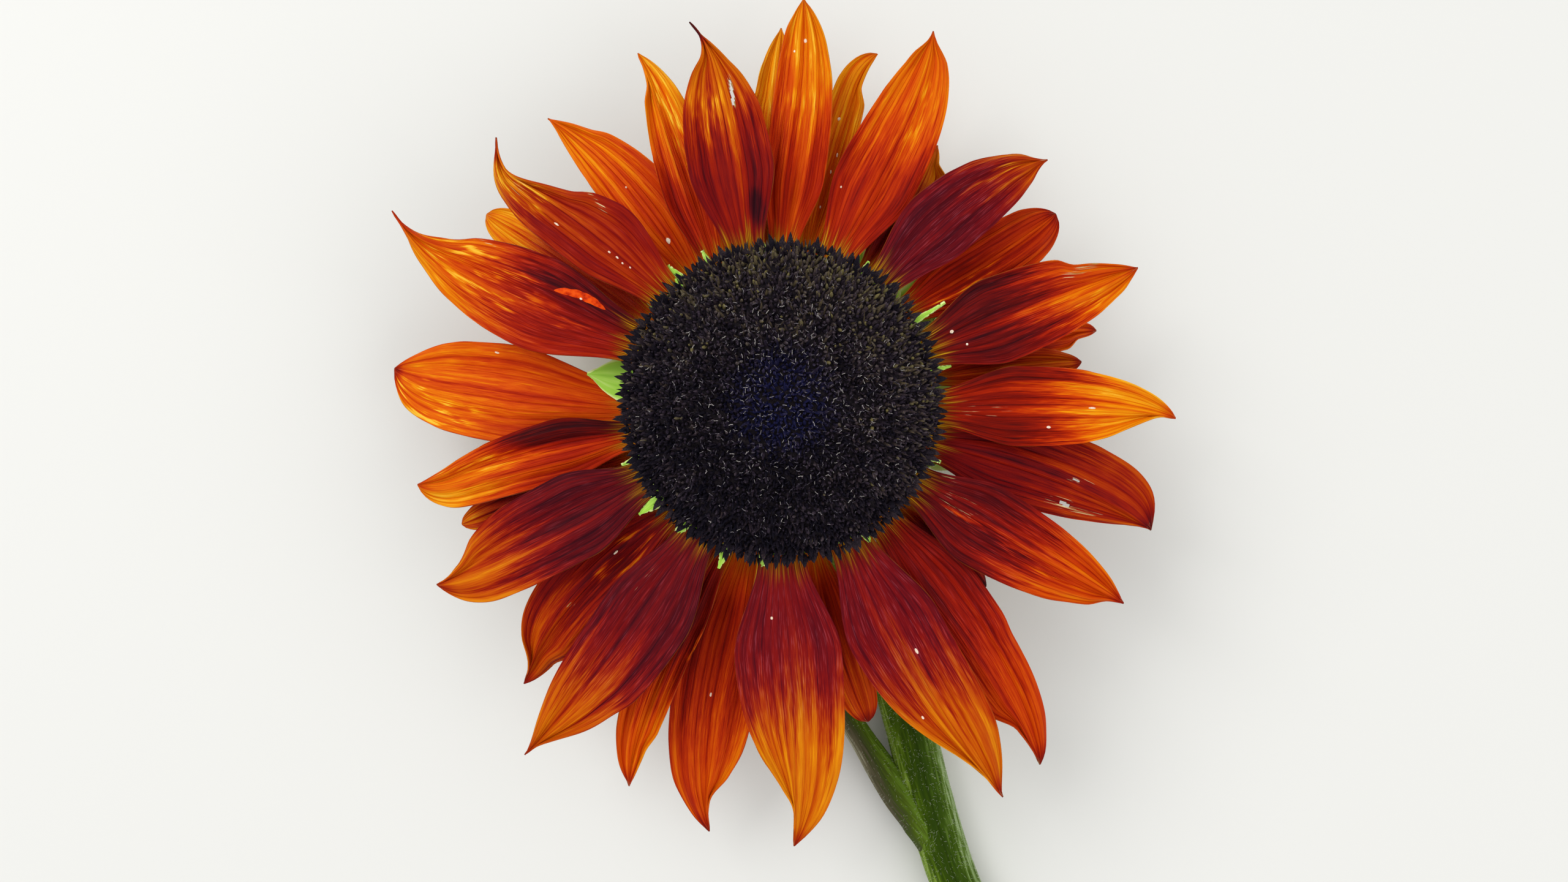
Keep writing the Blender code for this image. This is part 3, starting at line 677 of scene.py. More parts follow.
def make_petal(number, ray, look):
    """Builds one petal on its grid, with the light, root, dryness and side of each point."""
    along, across = sheet(PETAL_ROWS, PETAL_COLUMNS)
    along = along - 0.1 * along * (1 - along)  # a little closer together near the root
    middle = petal_surface(number, ray, along, across)
    light, fray = petal_light(number, ray, look, along, across)
    shade = backing(ray.row, middle[..., :2] - HEAD[:2])
    # Painted shade where a petal in a row behind backs this one, and a painted glow near the root.
    light = np.maximum(light * (1 - BACKED_SHADE * shade), ROOT_GLOW[ray.row] * (1 - smoothstep(along / 0.5)))
    length = ray.reach * MM - PETAL_ROOT
    uneven = np.maximum(0.3, 1 + 0.4 * waves(across, np.random.default_rng(400 + number), 0.9, 0.15, 5))
    root = 1 - smoothstep((along * length - 0.3 * MM) / (ROOT_OCHRE * uneven))
    root = root * (0.7 + 0.25 * math.cos(math.radians(ray.root)))
    blush = 0.6 * look.blush * smoothstep((look.turn + 0.2 - along) / 0.3) * smoothstep(along / 0.15)
    dry = 0.3 * smoothstep((along - 0.955) / 0.045)
    gilt = 0 * along
    kept = np.ones((PETAL_ROWS - 1, PETAL_COLUMNS - 1), bool)
    for kind, (petal, *place, strength) in ((kind, mark) for kind in MARKS for mark in MARKS[kind]):
        if petal != number:
            continue
        inside = from_mark(middle, *place)
        share = strength * smoothstep((1.25 - inside) / 0.8)
        if kind == "torn":
            centre = 0.25 * (inside[:-1, :-1] + inside[1:, :-1] + inside[:-1, 1:] + inside[1:, 1:])
            kept &= centre > 1
        elif kind == "dry":
            dry = np.maximum(dry, share)
        # A dark mark is painted shade: it lowers the light value.
        elif kind == "dark":
            light = light - share
        # Yellow veins, which carry painted glints.
        else:
            gilt = np.maximum(gilt, share)
    return new_sheet(
        f"petal_{number:02}", middle, PETAL_THICKNESS, PETAL_MATERIALS[ray.finish], f"petal_{ray.finish}",
        (f"ray_{number:02}",), kept=kept, uv=(across * UV_HALF_WIDTH + number * UV_STEP, along * length),
        under=0.55, light=light, fray=fray, blush=blush, root=root, dry=dry, gilt=gilt,
    )


petals = [make_petal(number, ray, look) for number, (ray, look) in enumerate(zip(RAYS, LOOKS), start=1)]
print(len(petals), "petals,", sum(2 * len(p.data.polygons) for p in petals), "triangles")

# %% [markdown]
# Pale flecks, where insects have fed or pollen has caught, are small raised grains. They are too small for
# the petals' grid, so they are one joined mesh of little domes, laid on the petals by clock angle and
# distance. The bright scar on one petal is a ridge of healed tissue, a blade of its own.

# %% Flecks and a scar
# Petal, clock angle, distance, length and width in millimetres.
FLECKS = (
    (1, 3.8, 78.3, 1.5, 1.0), (1, 2.2, 75.6, 0.9, 0.6), (2, 11.5, 63.5, 1.4, 1.0), (2, 12.6, 55.5, 1.6, 0.8),
    (2, 12, 51.4, 1.3, 0.7), (2, 11.2, 43.2, 1.0, 0.6), (3, 15.3, 46.6, 0.8, 0.6), (7, 67.2, 38.6, 1.2, 1.3),
    (7, 72.6, 40.5, 0.7, 0.7), (9, 82.2, 46.7, 2.2, 0.8), (9, 82.0, 43.8, 0.9, 0.7), (10, 91, 64.8, 2.4, 0.6),
    (10, 95.2, 55.9, 1.4, 0.9), (15, 151.3, 59.1, 2.0, 0.9), (15, 155.8, 71.8, 1.3, 0.9),
    (17, 182.4, 44.7, 1.0, 0.9), (18, 193.6, 65.0, 1.6, 0.7), (21, 227.9, 47.0, 1.8, 0.6),
    (25, 280.3, 62.9, 1.8, 0.6), (26, 297.5, 46.6, 1.2, 0.9), (28, 308.4, 60.0, 1.8, 0.8),
    (28, 311.3, 47.6, 1.0, 0.6), (28, 311.6, 45.6, 1.1, 0.6), (28, 311.4, 44.0, 0.8, 0.6),
    (28, 311.9, 42.2, 0.8, 0.5), (29, 325.4, 42.5, 2.0, 1.2), (29, 324.5, 58.0, 0.8, 0.6),
)
FLECK_PROFILE = ((0.5, 0.0), (0.3, 0.2), (0.0, 0.3))  # a low dome, one across


def on_petal(number, clock, distance):
    """The point of a petal's upper face at a clock angle and distance, found back through its outline."""
    ray = RAYS[number - 1]
    along, aside = along_and_aside(ray, distance * MM, clock)
    across = aside / half_width(ray, along, aside)
    return petal_surface(number, ray, np.asarray(along), np.asarray(across)) + 0.5 * PETAL_THICKNESS * UP


# Dried skin and pollen: matt and pale, with a grain of 0.3 mm in its tone.
FLECK_SKIN = lumpy_material(
    "dry_pollen_fleck", {"Roughness": 0.75, "IOR": 1.4},
    0.3 * MM, (0.3, "#D8B998"), (0.5, "#F0DCC4"), (0.7, "#FBF2E4"),
)
places = np.array([on_petal(*fleck[:3]) for fleck in FLECKS]) - 0.06 * MM * UP
_, clock, _, long, wide = np.array(FLECKS).T
sizes = sized(0.8 * wide, 0.8 * long, 0.7) * MM
points, faces = scatter(*ringed(FLECK_PROFILE, 8), places, axes_from(UP, spoke_at(clock)), sizes)
new_piece("petal_flecks", points, [faces], FLECK_SKIN, "petal_gold")
print(len(FLECKS), "flecks")

# %% The scar
SCAR_PETAL = 26
SCAR_CLOCK = (297.9, 298.2, 296.3)
SCAR_DISTANCE = (41.0, 52.6)  # mm
SCAR_HALF_WIDTH = 0.8 * MM
SCAR_HEIGHT = 0.16 * MM
SCAR_THICKNESS = 0.12 * MM
SCAR_ROWS, SCAR_COLUMNS = 60, 13
# Healed petal tissue: smoother and brighter than the petal, with red edges to its lumps.
SCAR_SKIN = lumpy_material(
    "healed_scar", {"Roughness": 0.5, "IOR": 1.4, "Specular IOR Level": 0.1},
    1.1 * MM, (0.3, "#A82202"), (0.46, "#D43A02"), (0.62, "#E65008"),
)


def make_scar():
    """A ridge along the petal: a cosine across its width, its width waved by seeded noise."""
    rng = np.random.default_rng(7)
    share, across = sheet(SCAR_ROWS, SCAR_COLUMNS)
    distance = SCAR_DISTANCE[0] + (SCAR_DISTANCE[1] - SCAR_DISTANCE[0]) * share
    ends = 1 - (2 * share - 1) ** 4
    width = SCAR_HALF_WIDTH * ends * (1 + 0.13 * waves(share + 0.2 * across, rng, 0.8, 0.2, 4))
    clock = quadratic(*SCAR_CLOCK, share) + np.degrees(across * width / (distance * MM))
    lumps = 0.8 + 0.2 * waves(share, rng, 0.3, 0.08)
    rise = SCAR_HEIGHT * np.cos(0.5 * np.pi * across) * lumps * ends - 0.02 * MM
    middle = on_petal(SCAR_PETAL, clock, distance) + rise[..., None] * UP
    new_sheet("petal_scar", middle, SCAR_THICKNESS, SCAR_SKIN, "petal_orange")


make_scar()
print("scar laid on petal", SCAR_PETAL)

# %% [markdown]
# ## The disc
# The dark eye of the bloom is about three thousand tiny florets, set in the spiral that every sunflower has:
# each next one is 137.5 degrees round and a little further out, so that they pack evenly. Between them stand
# stiff black-brown chaff scales, and the outermost scales make the ring of dark teeth over the petals'
# roots. Each kind is one small shape copied onto the dome as arrays.

# %% The disc's spiral
FLORETS = 3200
GOLDEN_TURN = 137.50776
SHARES = ((0, 1), (0.4, 0.97), (0.7, 0.8), (0.88, 0.5), (1, 0.12))  # the dome's profile
FLORET_HEIGHT = 1.7 * MM
FLORET_WIDTH = 0.82 * MM


def dome(radius, sunk=0.0):
    """The disc's height at a radius: straight lines between the profile's points, lowered by sunk."""
    out, up = np.array(SHARES).T
    return DISC_CROWN * np.interp(radius / DISC_RADIUS, out, up) - sunk


def on_dome(radius, clock, sunk):
    """Points on the dome, and the outward-leaning up direction there, from its slope."""
    step = 0.3 * MM
    slope = (dome(radius + step) - dome(np.maximum(radius - step, 0))) / (2 * step)
    up = unit(raised(-slope[:, None] * from_clock(1.0, clock), 1.0))
    return raised(from_clock(radius, clock), dome(radius, sunk)) + HEAD, up


index = np.arange(FLORETS)
spiral_radius = (DISC_RADIUS - 1.1 * MM) * np.sqrt((index + 0.5) / FLORETS)
spiral_clock = index * GOLDEN_TURN
print(FLORETS, "florets", round(FLORET_WIDTH / MM, 2), "mm wide")

# %% [markdown]
# The disc's tissue is matt and almost black, brown where light catches it and blue-black in the middle, with
# an olive cast toward the rim where green scales show between. The tone of each floret is a plain value on
# its points, so that neighbours differ as real ones do. It also carries painted light: lighter toward the rim
# on the top side, where the light falls.

# %% The disc's materials


def floret_material(name, roughness, *stops):
    """A dark velvety skin: the ramp reads the floret's tone plus a fine noise, and the core is blue-black."""
    made, tree = new_material(name, {"Roughness": roughness, "IOR": 1.4, "Specular IOR Level": 0.12})
    grain = noise(tree, 0.26 * MM, 3.0)
    tone = reckon(tree, reckon(tree, grain, 1.0, carried(tree, "tone")), 1.0, -0.3)
    skin = mix(tree, carried(tree, "core"), ramp(tree, tone, *stops), colour("#1A1C46"))
    cover(tree, skin, grain, 0.5, 0.1 * MM)
    return made


FLORET_SKIN = floret_material(
    "velvet_floret", 0.8,
    (0.1, "#0F0B10"), (0.3, "#1F181E"), (0.5, "#382E38"), (0.75, "#534849"), (1.0, "#746A40"),
)
CHAFF_SKIN = floret_material(
    "dry_chaff", 0.65, (0.1, "#0C090E"), (0.35, "#1C161B"), (0.6, "#352A2C"), (1.0, "#5E5238")
)
STYLE_SKIN = floret_material(
    "pollen_dusted_style", 0.6, (0.1, "#241F28"), (0.4, "#4A444C"), (0.7, "#7E787E"), (1.0, "#B4AEA8")
)
print("disc materials ready")

# %% The florets
FLORET_LEAN = 0.26  # how far a floret leans at random, as a share of upright
FLORET_SUNK = 1.5 * MM
RIM_MARGIN = 0.9 * MM


def cluster(name, shape, places, axes, sizes, material, tone, replaces=(), blue=0.64):
    """Copies of one shape, joined, with a tone for every copy and a core value near the disc's middle."""
    points, faces = scatter(*shape, places, axes, sizes)
    share = np.hypot(*(places[:, :2] - HEAD[:2]).T) / DISC_RADIUS
    core = blue * smoothstep((0.42 - share) / 0.3) + 0.06
    each = {"tone": np.repeat(tone, len(shape[0])), "core": np.repeat(core, len(shape[0]))}
    return new_piece(name, points, [faces], material, "disc_florets", replaces, sharp=80, **each)


def spun(up, spin):
    """Axes that keep up and are spun round it by an angle."""
    return axes_from(up, raised(np.stack([np.cos(spin), np.sin(spin)], axis=-1), 0.0))


def patches(places):
    """Light and dark patches over the disc, 3 to 12 mm wide: smooth lines in five directions, averaged."""
    rng = np.random.default_rng(55)
    x, y = (places[:, :2] - HEAD[:2]).T / MM
    ways = np.linspace(0, np.pi, 5, endpoint=False)
    return sum(waves(x * np.cos(way) + y * np.sin(way), rng, 12, 3, 4) for way in ways) / np.sqrt(len(ways))


rng = np.random.default_rng(21)
radius = spiral_radius + 0.2 * MM * rng.normal(size=FLORETS)
radius = np.clip(radius, 0.2 * MM, DISC_RADIUS - RIM_MARGIN)
spiral_clock = spiral_clock + np.degrees(0.2 * MM * rng.normal(size=FLORETS) / radius)
places, up = on_dome(radius, spiral_clock, FLORET_SUNK)
up = unit(up + FLORET_LEAN * rng.normal(size=up.shape))
share = radius / DISC_RADIUS
bud = ringed(((0.4, 0.0), (0.44, 0.5), (0.22, 0.85), (0.0, 1.0)), 5, 0.15)
wide = FLORET_WIDTH * (0.75 + 0.45 * rng.random(FLORETS))
tall = FLORET_HEIGHT * (0.65 + 0.45 * rng.random(FLORETS))
# Painted light: lighter toward the rim and most toward the top.
lit = share * (0.5 + 0.5 * np.cos(np.radians(spiral_clock - 20)))
tone = 0.42 * rng.random(FLORETS) + 0.35 * (rng.random(FLORETS) < 0.1)
tone = tone * (0.7 + 0.6 * lit) + 0.5 * lit - 0.12 + 0.15 * patches(places)
turned_up = spun(up, rng.uniform(0, 6.28, FLORETS))
cluster("disc_florets", bud, places, turned_up, sized(wide, wide, tall), FLORET_SKIN, tone, ("disc",))
print("florets", len(bud[1]) * FLORETS, "triangles")

# %% [markdown]
# Chaff scales are boat-shaped, pointed blades that stand a little above the florets and lean outward. Seen
# from above only their tips show, as dark points with a brown edge.

# %% Chaff
SKIPPED = 3  # florets in the very middle that have no chaff beside them
CHAFF_LEAN = 0.34
TEETH = 101
TOOTH_DEPTH = 0.9 * MM
# Share of a step round, then radius, length, rise and width of the teeth in that row.
TEETH_ROWS = (
    (0.0, 31.9, 2.7, 0.2, 1.4), (0.5, 31.2, 2.2, 0.4, 1.2),
    (0.25, 30.4, 2.0, 0.8, 1.1), (0.75, 29.6, 2.0, 1.2, 1.0),
)


def scale_blade():
    """A pointed keel: a triangle-section blade of unit height that narrows and curls forward to a point."""
    height = np.array([0.0, 0.4, 0.75])
    width = np.array([0.5, 0.42, 0.22])
    lean = 0.25 * height**2
    sides = ((-1, 0), (0, 0.45), (1, 0))  # left, keel and right
    lines = [np.stack([way * width, lean - deep * width, height], axis=-1) for way, deep in sides]
    points = np.concatenate([np.stack(lines, axis=1).reshape(-1, 3), [[0, 0.3, 1.0]]])
    return points, triangles(grid_faces(3, 3, closed=True), [[6, 7, 9], [7, 8, 9], [8, 6, 9]])


count = FLORETS - SKIPPED
between = spiral_radius[SKIPPED:] + 0.3 * MM * rng.normal(size=count)
between = np.clip(between, 0.3 * MM, DISC_RADIUS - RIM_MARGIN)
chaff_clock = spiral_clock[SKIPPED:] + np.degrees(0.55 * MM / between)
places, up = on_dome(between, chaff_clock, FLORET_SUNK)
spoke = spoke_at(chaff_clock)
lean = 0.4 + 0.4 * smoothstep((between / DISC_RADIUS - 0.6) / 0.4)
leaning = unit(up + spoke * lean[:, None] + CHAFF_LEAN * rng.normal(size=up.shape))
heights = (1.9 + 0.7 * rng.random(count)) * MM
wide = 0.7 * MM * (0.8 + 0.4 * rng.random(count))
# The chaff's tone carries the same painted light as the florets beside it.
beside = lit[SKIPPED:]
tone = 0.5 * rng.random(count) ** 2 * (0.7 + 0.6 * beside) + 0.48 * beside - 0.09 + 0.1 * patches(places)
axes = axes_from(leaning, spoke)
cluster("disc_chaff", scale_blade(), places, axes, sized(wide, wide, heights), CHAFF_SKIN, tone)

for row, (offset, foot, length, rise, width) in enumerate(TEETH_ROWS):
    clock = (np.arange(TEETH) + offset + 0.2 * rng.normal(size=TEETH)) * 360 / TEETH
    out = foot * MM + 0.25 * MM * rng.normal(size=TEETH)
    places = raised(from_clock(out, clock), 0.3 * MM + 0.5 * dome(out)) + HEAD
    point_to = raised(from_clock(1.0, clock), rise) + 0.14 * rng.normal(size=(TEETH, 3))
    lengths = length * MM * (0.75 + 0.45 * rng.random(TEETH))
    tone = 0.02 + 0.35 * rng.random(TEETH) ** 2
    sizes = sized(width * MM, TOOTH_DEPTH, lengths)
    cluster(f"rim_chaff_{row + 1}", scale_blade(), places, axes_from(point_to, UP), sizes, CHAFF_SKIN, tone)
print("chaff scales", count, "and", TEETH * len(TEETH_ROWS), "teeth round the rim")

# %% [markdown]
# Open florets put out a style that splits into two curled arms, dusted with pollen. They are the small pale
# glints on the dark disc. Each arm is a bent ribbon with a triangular section.

# %% Styles
STYLES = 1500
STYLE_LEAN = 0.35


def curled_arms():
    """Two arms from one foot: each rises and curls over in a third of a circle, tapering to its end."""
    turn = np.linspace(0, 2.0, 4)
    width = np.linspace(0.12, 0.07, 4)[:, None]
    arms, faces = [], []
    for way in (-1, 1):
        middle = np.stack([way * 0.45 * (1 - np.cos(turn)), 0 * turn, 0.55 * np.sin(turn)], axis=-1)
        sides = [middle + width * np.array(side) for side in ((0, 1, 0), (0, -0.5, 0.85), (0, -0.5, -0.85))]
        faces.append(grid_faces(4, 3, closed=True) + 12 * len(arms))
        arms.append(np.stack(sides, axis=1).reshape(-1, 3))
    return np.concatenate(arms), triangles(np.concatenate(faces))


chosen = np.argsort(rng.random(FLORETS) / (1.08 - share**2))[:STYLES]
places, up = on_dome(radius[chosen], spiral_clock[chosen] + 1.5, 0.15 * MM)
size = (0.34 + 0.46 * rng.random(STYLES)) * MM
tone = 0.13 + 0.98 * rng.random(STYLES) ** 2.4
# The styles carry the same painted light toward the top.
tone = tone + 0.35 * lit[chosen] - 0.35 * share[chosen] ** 2 + 0.15 * patches(places)
leaning = unit(up + STYLE_LEAN * rng.normal(size=(STYLES, 3)))
axes = spun(leaning, rng.uniform(0, 6.28, STYLES))
cluster("disc_styles", curled_arms(), places, axes, sized(size, size, size), STYLE_SKIN, tone, blue=0.25)
print(STYLES, "styles")

# %% [markdown]
# Under the florets lies the receptacle, the thick green cushion that carries everything. Its dark top is
# a dome just below the florets, and its wall and back are turned shapes: a profile of radii and heights
# carried round a circle, with faint ribs where the bracts' bases run down.

# %% The receptacle
RECEPTACLE_RIBS = 26
RIB_DENT = 0.5 * MM
BED_SUNK = 1.4  # mm, of the dark bed under the florets
# Radius and height from the face in millimetres, from the axis over the wall to the back.
RECEPTACLE_PROFILE = (
    (0, -0.3), (31.4, -0.3), (31.4, -9.4), (30.4, -11.6), (28.2, -14.6), (21.4, -16.4), (0, -17.3)
)


def turned(profile, sides, ribs=0, depth=0.0, steps=12):
    """Radius and height between the profile's points, carried round; ribs wave the radius by their depth."""
    corner = np.arange(len(profile))
    place = np.linspace(0, corner[-1], steps * corner[-1] + 1)
    out, height = (np.interp(place, corner, column)[:, None] for column in np.array(profile).T * MM)
    clock = np.arange(sides) * 360 / sides
    wave = 1 + depth / DISC_RADIUS * (np.cos(np.radians(ribs * clock)) - 1)
    points = raised(from_clock(out * wave, clock), height) + HEAD
    return points.reshape(-1, 3), grid_faces(len(place), sides, closed=True)[:, ::-1]


def receptacle_material():
    """Green plant skin with a waxy bloom: two greens mixed by soft noise, with a fine grain over them."""
    made, tree = new_material("receptacle_skin", {"Roughness": 0.6, "IOR": 1.42, "Sheen Weight": 0.12})
    tone = ramp(tree, noise(tree, 5 * MM, 3.0), (0.35, "#5E8A2C"), (0.65, "#7FA83E"))
    cover(tree, tone, noise(tree, 0.5 * MM, 1.0), 0.4, 0.15 * MM)
    return made


points, faces = turned(RECEPTACLE_PROFILE, 156, RECEPTACLE_RIBS, RIB_DENT)
new_piece("receptacle_skin", points, [faces], receptacle_material(), "green_scales", ("receptacle",))
bed = [(out * DISC_RADIUS / MM, up * DISC_CROWN / MM - BED_SUNK) for out, up in SHARES[:4]]
points, faces = turned([*bed, (31.3, 0.5), (31.2, -0.2), (0, -0.2)], 120)
dark, plain = np.full(len(points), 0.1), np.zeros(len(points))
new_piece("disc_bed", points, [faces], CHAFF_SKIN, "disc_florets", tone=dark, core=plain)
print("receptacle and disc bed turned")

# %% [markdown]
# ## The bracts
# Behind the petals two rings of bracts close the head, painted bright lime as where the sun comes through
# them. A bract is a pointed scale with a pale midrib, three or four side veins that run to its tip and a
# fringe of short hairs on its edge. It is the petals' idea again with another outline.

# %% The bracts' shape
BRACT_THICKNESS = 0.7 * MM
BRACT_CUP = 1.6 * MM
BRACT_ROWS, BRACT_COLUMNS = 44, 25
BractRing = namedtuple("BractRing", "count first root tip half_width dive")
FACE_HEIGHT = HEAD[2]
INNER_BRACTS = BractRing(13, 18.5, (31.3, -11.0), (52, -19), 7.6, 1.3)
OUTER_BRACTS = BractRing(8, 41.5, (29.0, -14.3), (50, 0.5 - FACE_HEIGHT / MM), 8.4, 1.7)
LEAF_SIDE = (170.0, 280.0)
OVER_LEAF = 8 - FACE_HEIGHT / MM  # tips of the outer bracts above the leaf, in millimetres from the face


def bract_surface(ring, clock, tip_height, along, across, rng, cup=BRACT_CUP):
    """Width grows then narrows to a point; height falls as a power of the length; the sides bend down."""
    taper = (0.8 + 0.2 * smoothstep(along / 0.25)) * (1 - along**2.2) ** 1.2
    half = np.maximum(0.2 * MM, ring.half_width * MM * taper)
    radius = (ring.root[0] + (ring.tip[0] - ring.root[0]) * along) * MM
    height = (ring.root[1] + (tip_height - ring.root[1]) * along**ring.dive) * MM
    height = height - cup * across**2 * taper * smoothstep(along / 0.2)
    ribs = 0.16 * MM * np.cos(3 * np.pi * across) * smoothstep(along / 0.1) * taper
    wave = 0.35 * MM * np.abs(across) ** 3 * waves(along + across, rng, 0.9, 0.3, 3) * smoothstep(along / 0.3)
    flat = from_clock(radius, clock) + from_clock(half * across, clock + 90)
    return raised(flat, height + np.maximum(0, ribs + wave)) + HEAD


def bract_material(name, *stops):
    """Lime green painted bright as with light through it: veins and edges paler, from the vein value and
    streaks on the own UV map.
    """
    made, tree = new_material(name, {"Roughness": 0.55, "IOR": 1.42, "Sheen Weight": 0.15})
    streak = streaks(tree, 1.1 * MM, 14 * MM, 3.0)
    cover(tree, ramp(tree, reckon(tree, carried(tree, "vein"), 0.5, streak), *stops), streak, 0.5, 0.2 * MM)
    return made


LIME = bract_material("lime_bract", (0.3, "#70AE1A"), (0.55, "#98D22E"), (0.9, "#D0EC84"))
edge_points, edge_ways = [], []


def make_bract(name, ring, clock, tip_height, seed):
    """One bract, and the edge points where its fringe will stand."""
    along, across = sheet(BRACT_ROWS, BRACT_COLUMNS)
    middle = bract_surface(ring, clock, tip_height, along, across, np.random.default_rng(seed))
    vein = np.maximum(np.exp(-((across / 0.09) ** 2)), np.abs(across) ** 8)
    uv = (across * ring.half_width * MM + seed * 50 * MM, along * 22 * MM)
    edges = middle[4:-1, [0, -1]]
    edge_points.append(edges.reshape(-1, 3))
    edge_ways.append(unit(edges - middle[4:-1, [3, -4]]).reshape(-1, 3))
    new_sheet(name + "_dressed", middle, BRACT_THICKNESS, LIME, "green_scales", (name,), uv=uv, vein=vein)


for word, ring, seed in (("inner", INNER_BRACTS, 200), ("outer", OUTER_BRACTS, 230)):
    for i in range(ring.count):
        clock = ring.first + 360 * i / ring.count
        above_leaf = ring is OUTER_BRACTS and LEAF_SIDE[0] < clock < LEAF_SIDE[1]
        tip_height = OVER_LEAF if above_leaf else ring.tip[1]
        make_bract(f"{word}_bract_{i + 1:02}", ring, clock, tip_height, seed + i)
print(INNER_BRACTS.count + OUTER_BRACTS.count, "bracts")

# %% [markdown]
# Between the petals' roots the tips of the shortest scales show as small lime points, right beside the
# dark rim. They are bracts of the innermost turn. Some stand up over the roots and some show in a gap. They
# lie in the petals' shade, and their lime is painted brighter still, as light through them would make it.

# %% Scales between the petals
DEEP = -9.2  # height of a scale behind the petals, in millimetres from the face
OVER = -1.3  # and of one over their roots
SCALE_THICKNESS = 0.4 * MM
SCALE_CUP = 0.4 * MM
SCALE_ROWS, SCALE_COLUMNS = 20, 13
Scale = namedtuple("Scale", "clock reach half_width height", defaults=(36.5, 3.2, DEEP))
SCALES = [Scale(*row) for row in (
    (9.0,), (45.0,), (96.0,), (110.0, 37.0), (130.0,), (161.5,), (173.0,), (263.5,), (278.8, 42.0, 5.2, -7.0),
    (301.0,), (59.0, 41.0, 3.0), (320.0, 39.5), (232.0, 38.5, 3.6), (353.4, 35.0, 0.6, OVER),
    (332.6, 35.8, 0.7, OVER), (320.6, 37.2, 1.3, OVER), (31.9, 34.8, 0.6, OVER), (58.6, 40.2, 0.55, OVER),
    (77.8, 36.4, 0.6, OVER), (110.4, 35.6, 0.6, OVER), (147.3, 35.8, 0.9, OVER), (186.5, 35.4, 0.9, OVER),
    (200.6, 37.0, 1.1, OVER), (218.4, 36.4, 1.2, OVER), (231.8, 37.8, 1.6, OVER), (248.6, 35.8, 0.8, OVER),
)]
along, across = sheet(SCALE_ROWS, SCALE_COLUMNS)
points, faces, uv = [], [], []
for i, scale in enumerate(SCALES):
    ring = BractRing(1, 0, (31.2, scale.height), (scale.reach, scale.height - 0.6), scale.half_width, 1.0)
    rng = np.random.default_rng(260 + i)
    middle = bract_surface(ring, scale.clock, ring.tip[1], along, across, rng, SCALE_CUP)
    part, sides = shell(middle, SCALE_THICKNESS)
    faces += [side + len(part) * i for side in sides]
    points.append(part)
    uv.append(both_faces((3 * MM * across + 50 * MM * i, 8 * MM * along)))
points, uv = np.concatenate(points), np.concatenate(uv)
vein = np.tile(np.abs(across).ravel() ** 6, 2 * len(SCALES))
# A brighter copy of the lime: painted light through the scales, which lie in shade.
SUNLIT_LIME = bract_material("painted_sunlit_scale", (0.3, "#8EC828"), (0.55, "#AEE048"), (0.9, "#E2F69A"))
new_piece("inner_scales", points, faces, SUNLIT_LIME, "green_scales", uv=uv, vein=vein)
print(len(SCALES), "scales")

# %% [markdown]
# ## Neck, stem and stalk
# A sunflower's stem is ribbed lengthwise and bristly. Each of its three lengths is a ring of points carried
# along a path, and the ring's radius waves with the angle to make the ribs. The angle also picks the colour,
# as painted light and shade: the side that faces up is painted dark green as in shade, one flank is painted
# lit yellow-green, and the other is pale from its hairs and from painted light along that edge.

# %% Paths
STEM_ROUTE = np.array([(7.6, -15.1), (16, -33), (24, -53), (29.8, -73), (34.6, -92), (41, -112), (50, -131)])
STEM_RADIUS, STEM_RADIUS_AT_CUT = 6.2 * MM, 5.7 * MM
STEM_AXIS_HEIGHT = 6.4 * MM
STEM_SIDES, STEM_RIBS, STEM_RIB_DEPTH = 72, 13, 0.22 * MM
NECK_TOP_RADIUS = 8.8 * MM
NECK_STUB = 1.5 * MM + 0.3 * MM  # straight ends of the neck, which reach 0.3 mm into what they join
NECK_BEND = FACE_HEIGHT + RECEPTACLE_PROFILE[-1][1] * MM - NECK_STUB - STEM_AXIS_HEIGHT
STALK_ROUTE = np.array([  # place and radius, from the stem to the leaf
    (39.4, -109, 6.4, 3.8), (33.8, -98, 6.5, 5.3), (27.2, -90.5, 7.0, 4.2),
    (19.4, -78.8, 7.2, 3.0), (10, -64, 6.2, 2.5), (-0.3, -50.6, 4.4, 2.1),
]) * MM
GROUND_UNDER_HEAD = HEAD * [1, 1, 0]
heading = unit(raised(STEM_ROUTE[0], 0.0))


def smooth_route(points, samples):
    """A Catmull-Rom curve through the points, evenly spread in its parameter."""
    points = np.concatenate([[2 * points[0] - points[1]], points, [2 * points[-1] - points[-2]]])
    place = np.linspace(0, len(points) - 3 - 1e-6, samples)
    k = place.astype(int)
    u = (place - k)[:, None]
    a, b, c, d = points[k], points[k + 1], points[k + 2], points[k + 3]
    return 0.5 * (2 * b + (c - a) * u + (2 * a - 5 * b + 4 * c - d) * u**2 + (3 * b - a - 3 * c + d) * u**3)


def lengths_along(route):
    """The length of the path from its start to each of its points."""
    return np.concatenate([[0], np.cumsum(np.linalg.norm(np.diff(route, axis=0), axis=1))])


def sweep(route, radii, sideways, seed):
    """Rings square to the path. Angle 0 is the side that faces up; ribs wave the radius inward. Gives the
    grid of points, the angle and the length along the path at each."""
    rng = np.random.default_rng(seed)
    ahead = unit(np.gradient(route, axis=0))
    sideways = unit(np.broadcast_to(sideways, route.shape))
    over = np.cross(sideways, ahead)
    length = lengths_along(route)
    angle = np.arange(STEM_SIDES) * 2 * np.pi / STEM_SIDES
    drift = 0.25 * waves(length / (60 * MM), rng, 1.0, 0.4, 3)[:, None]
    rib = 0.5 - 0.5 * np.cos(STEM_RIBS * (angle + drift))
    radius = radii[:, None] - STEM_RIB_DEPTH * rib * (0.7 + 0.3 * np.sin(2 * angle + 1))
    ring = np.cos(angle)[None, :, None] * over[:, None] + np.sin(angle)[None, :, None] * sideways[:, None]
    points = route[:, None] + radius[..., None] * ring
    return points, np.broadcast_to(angle, radius.shape), np.broadcast_to(length[:, None], radius.shape)


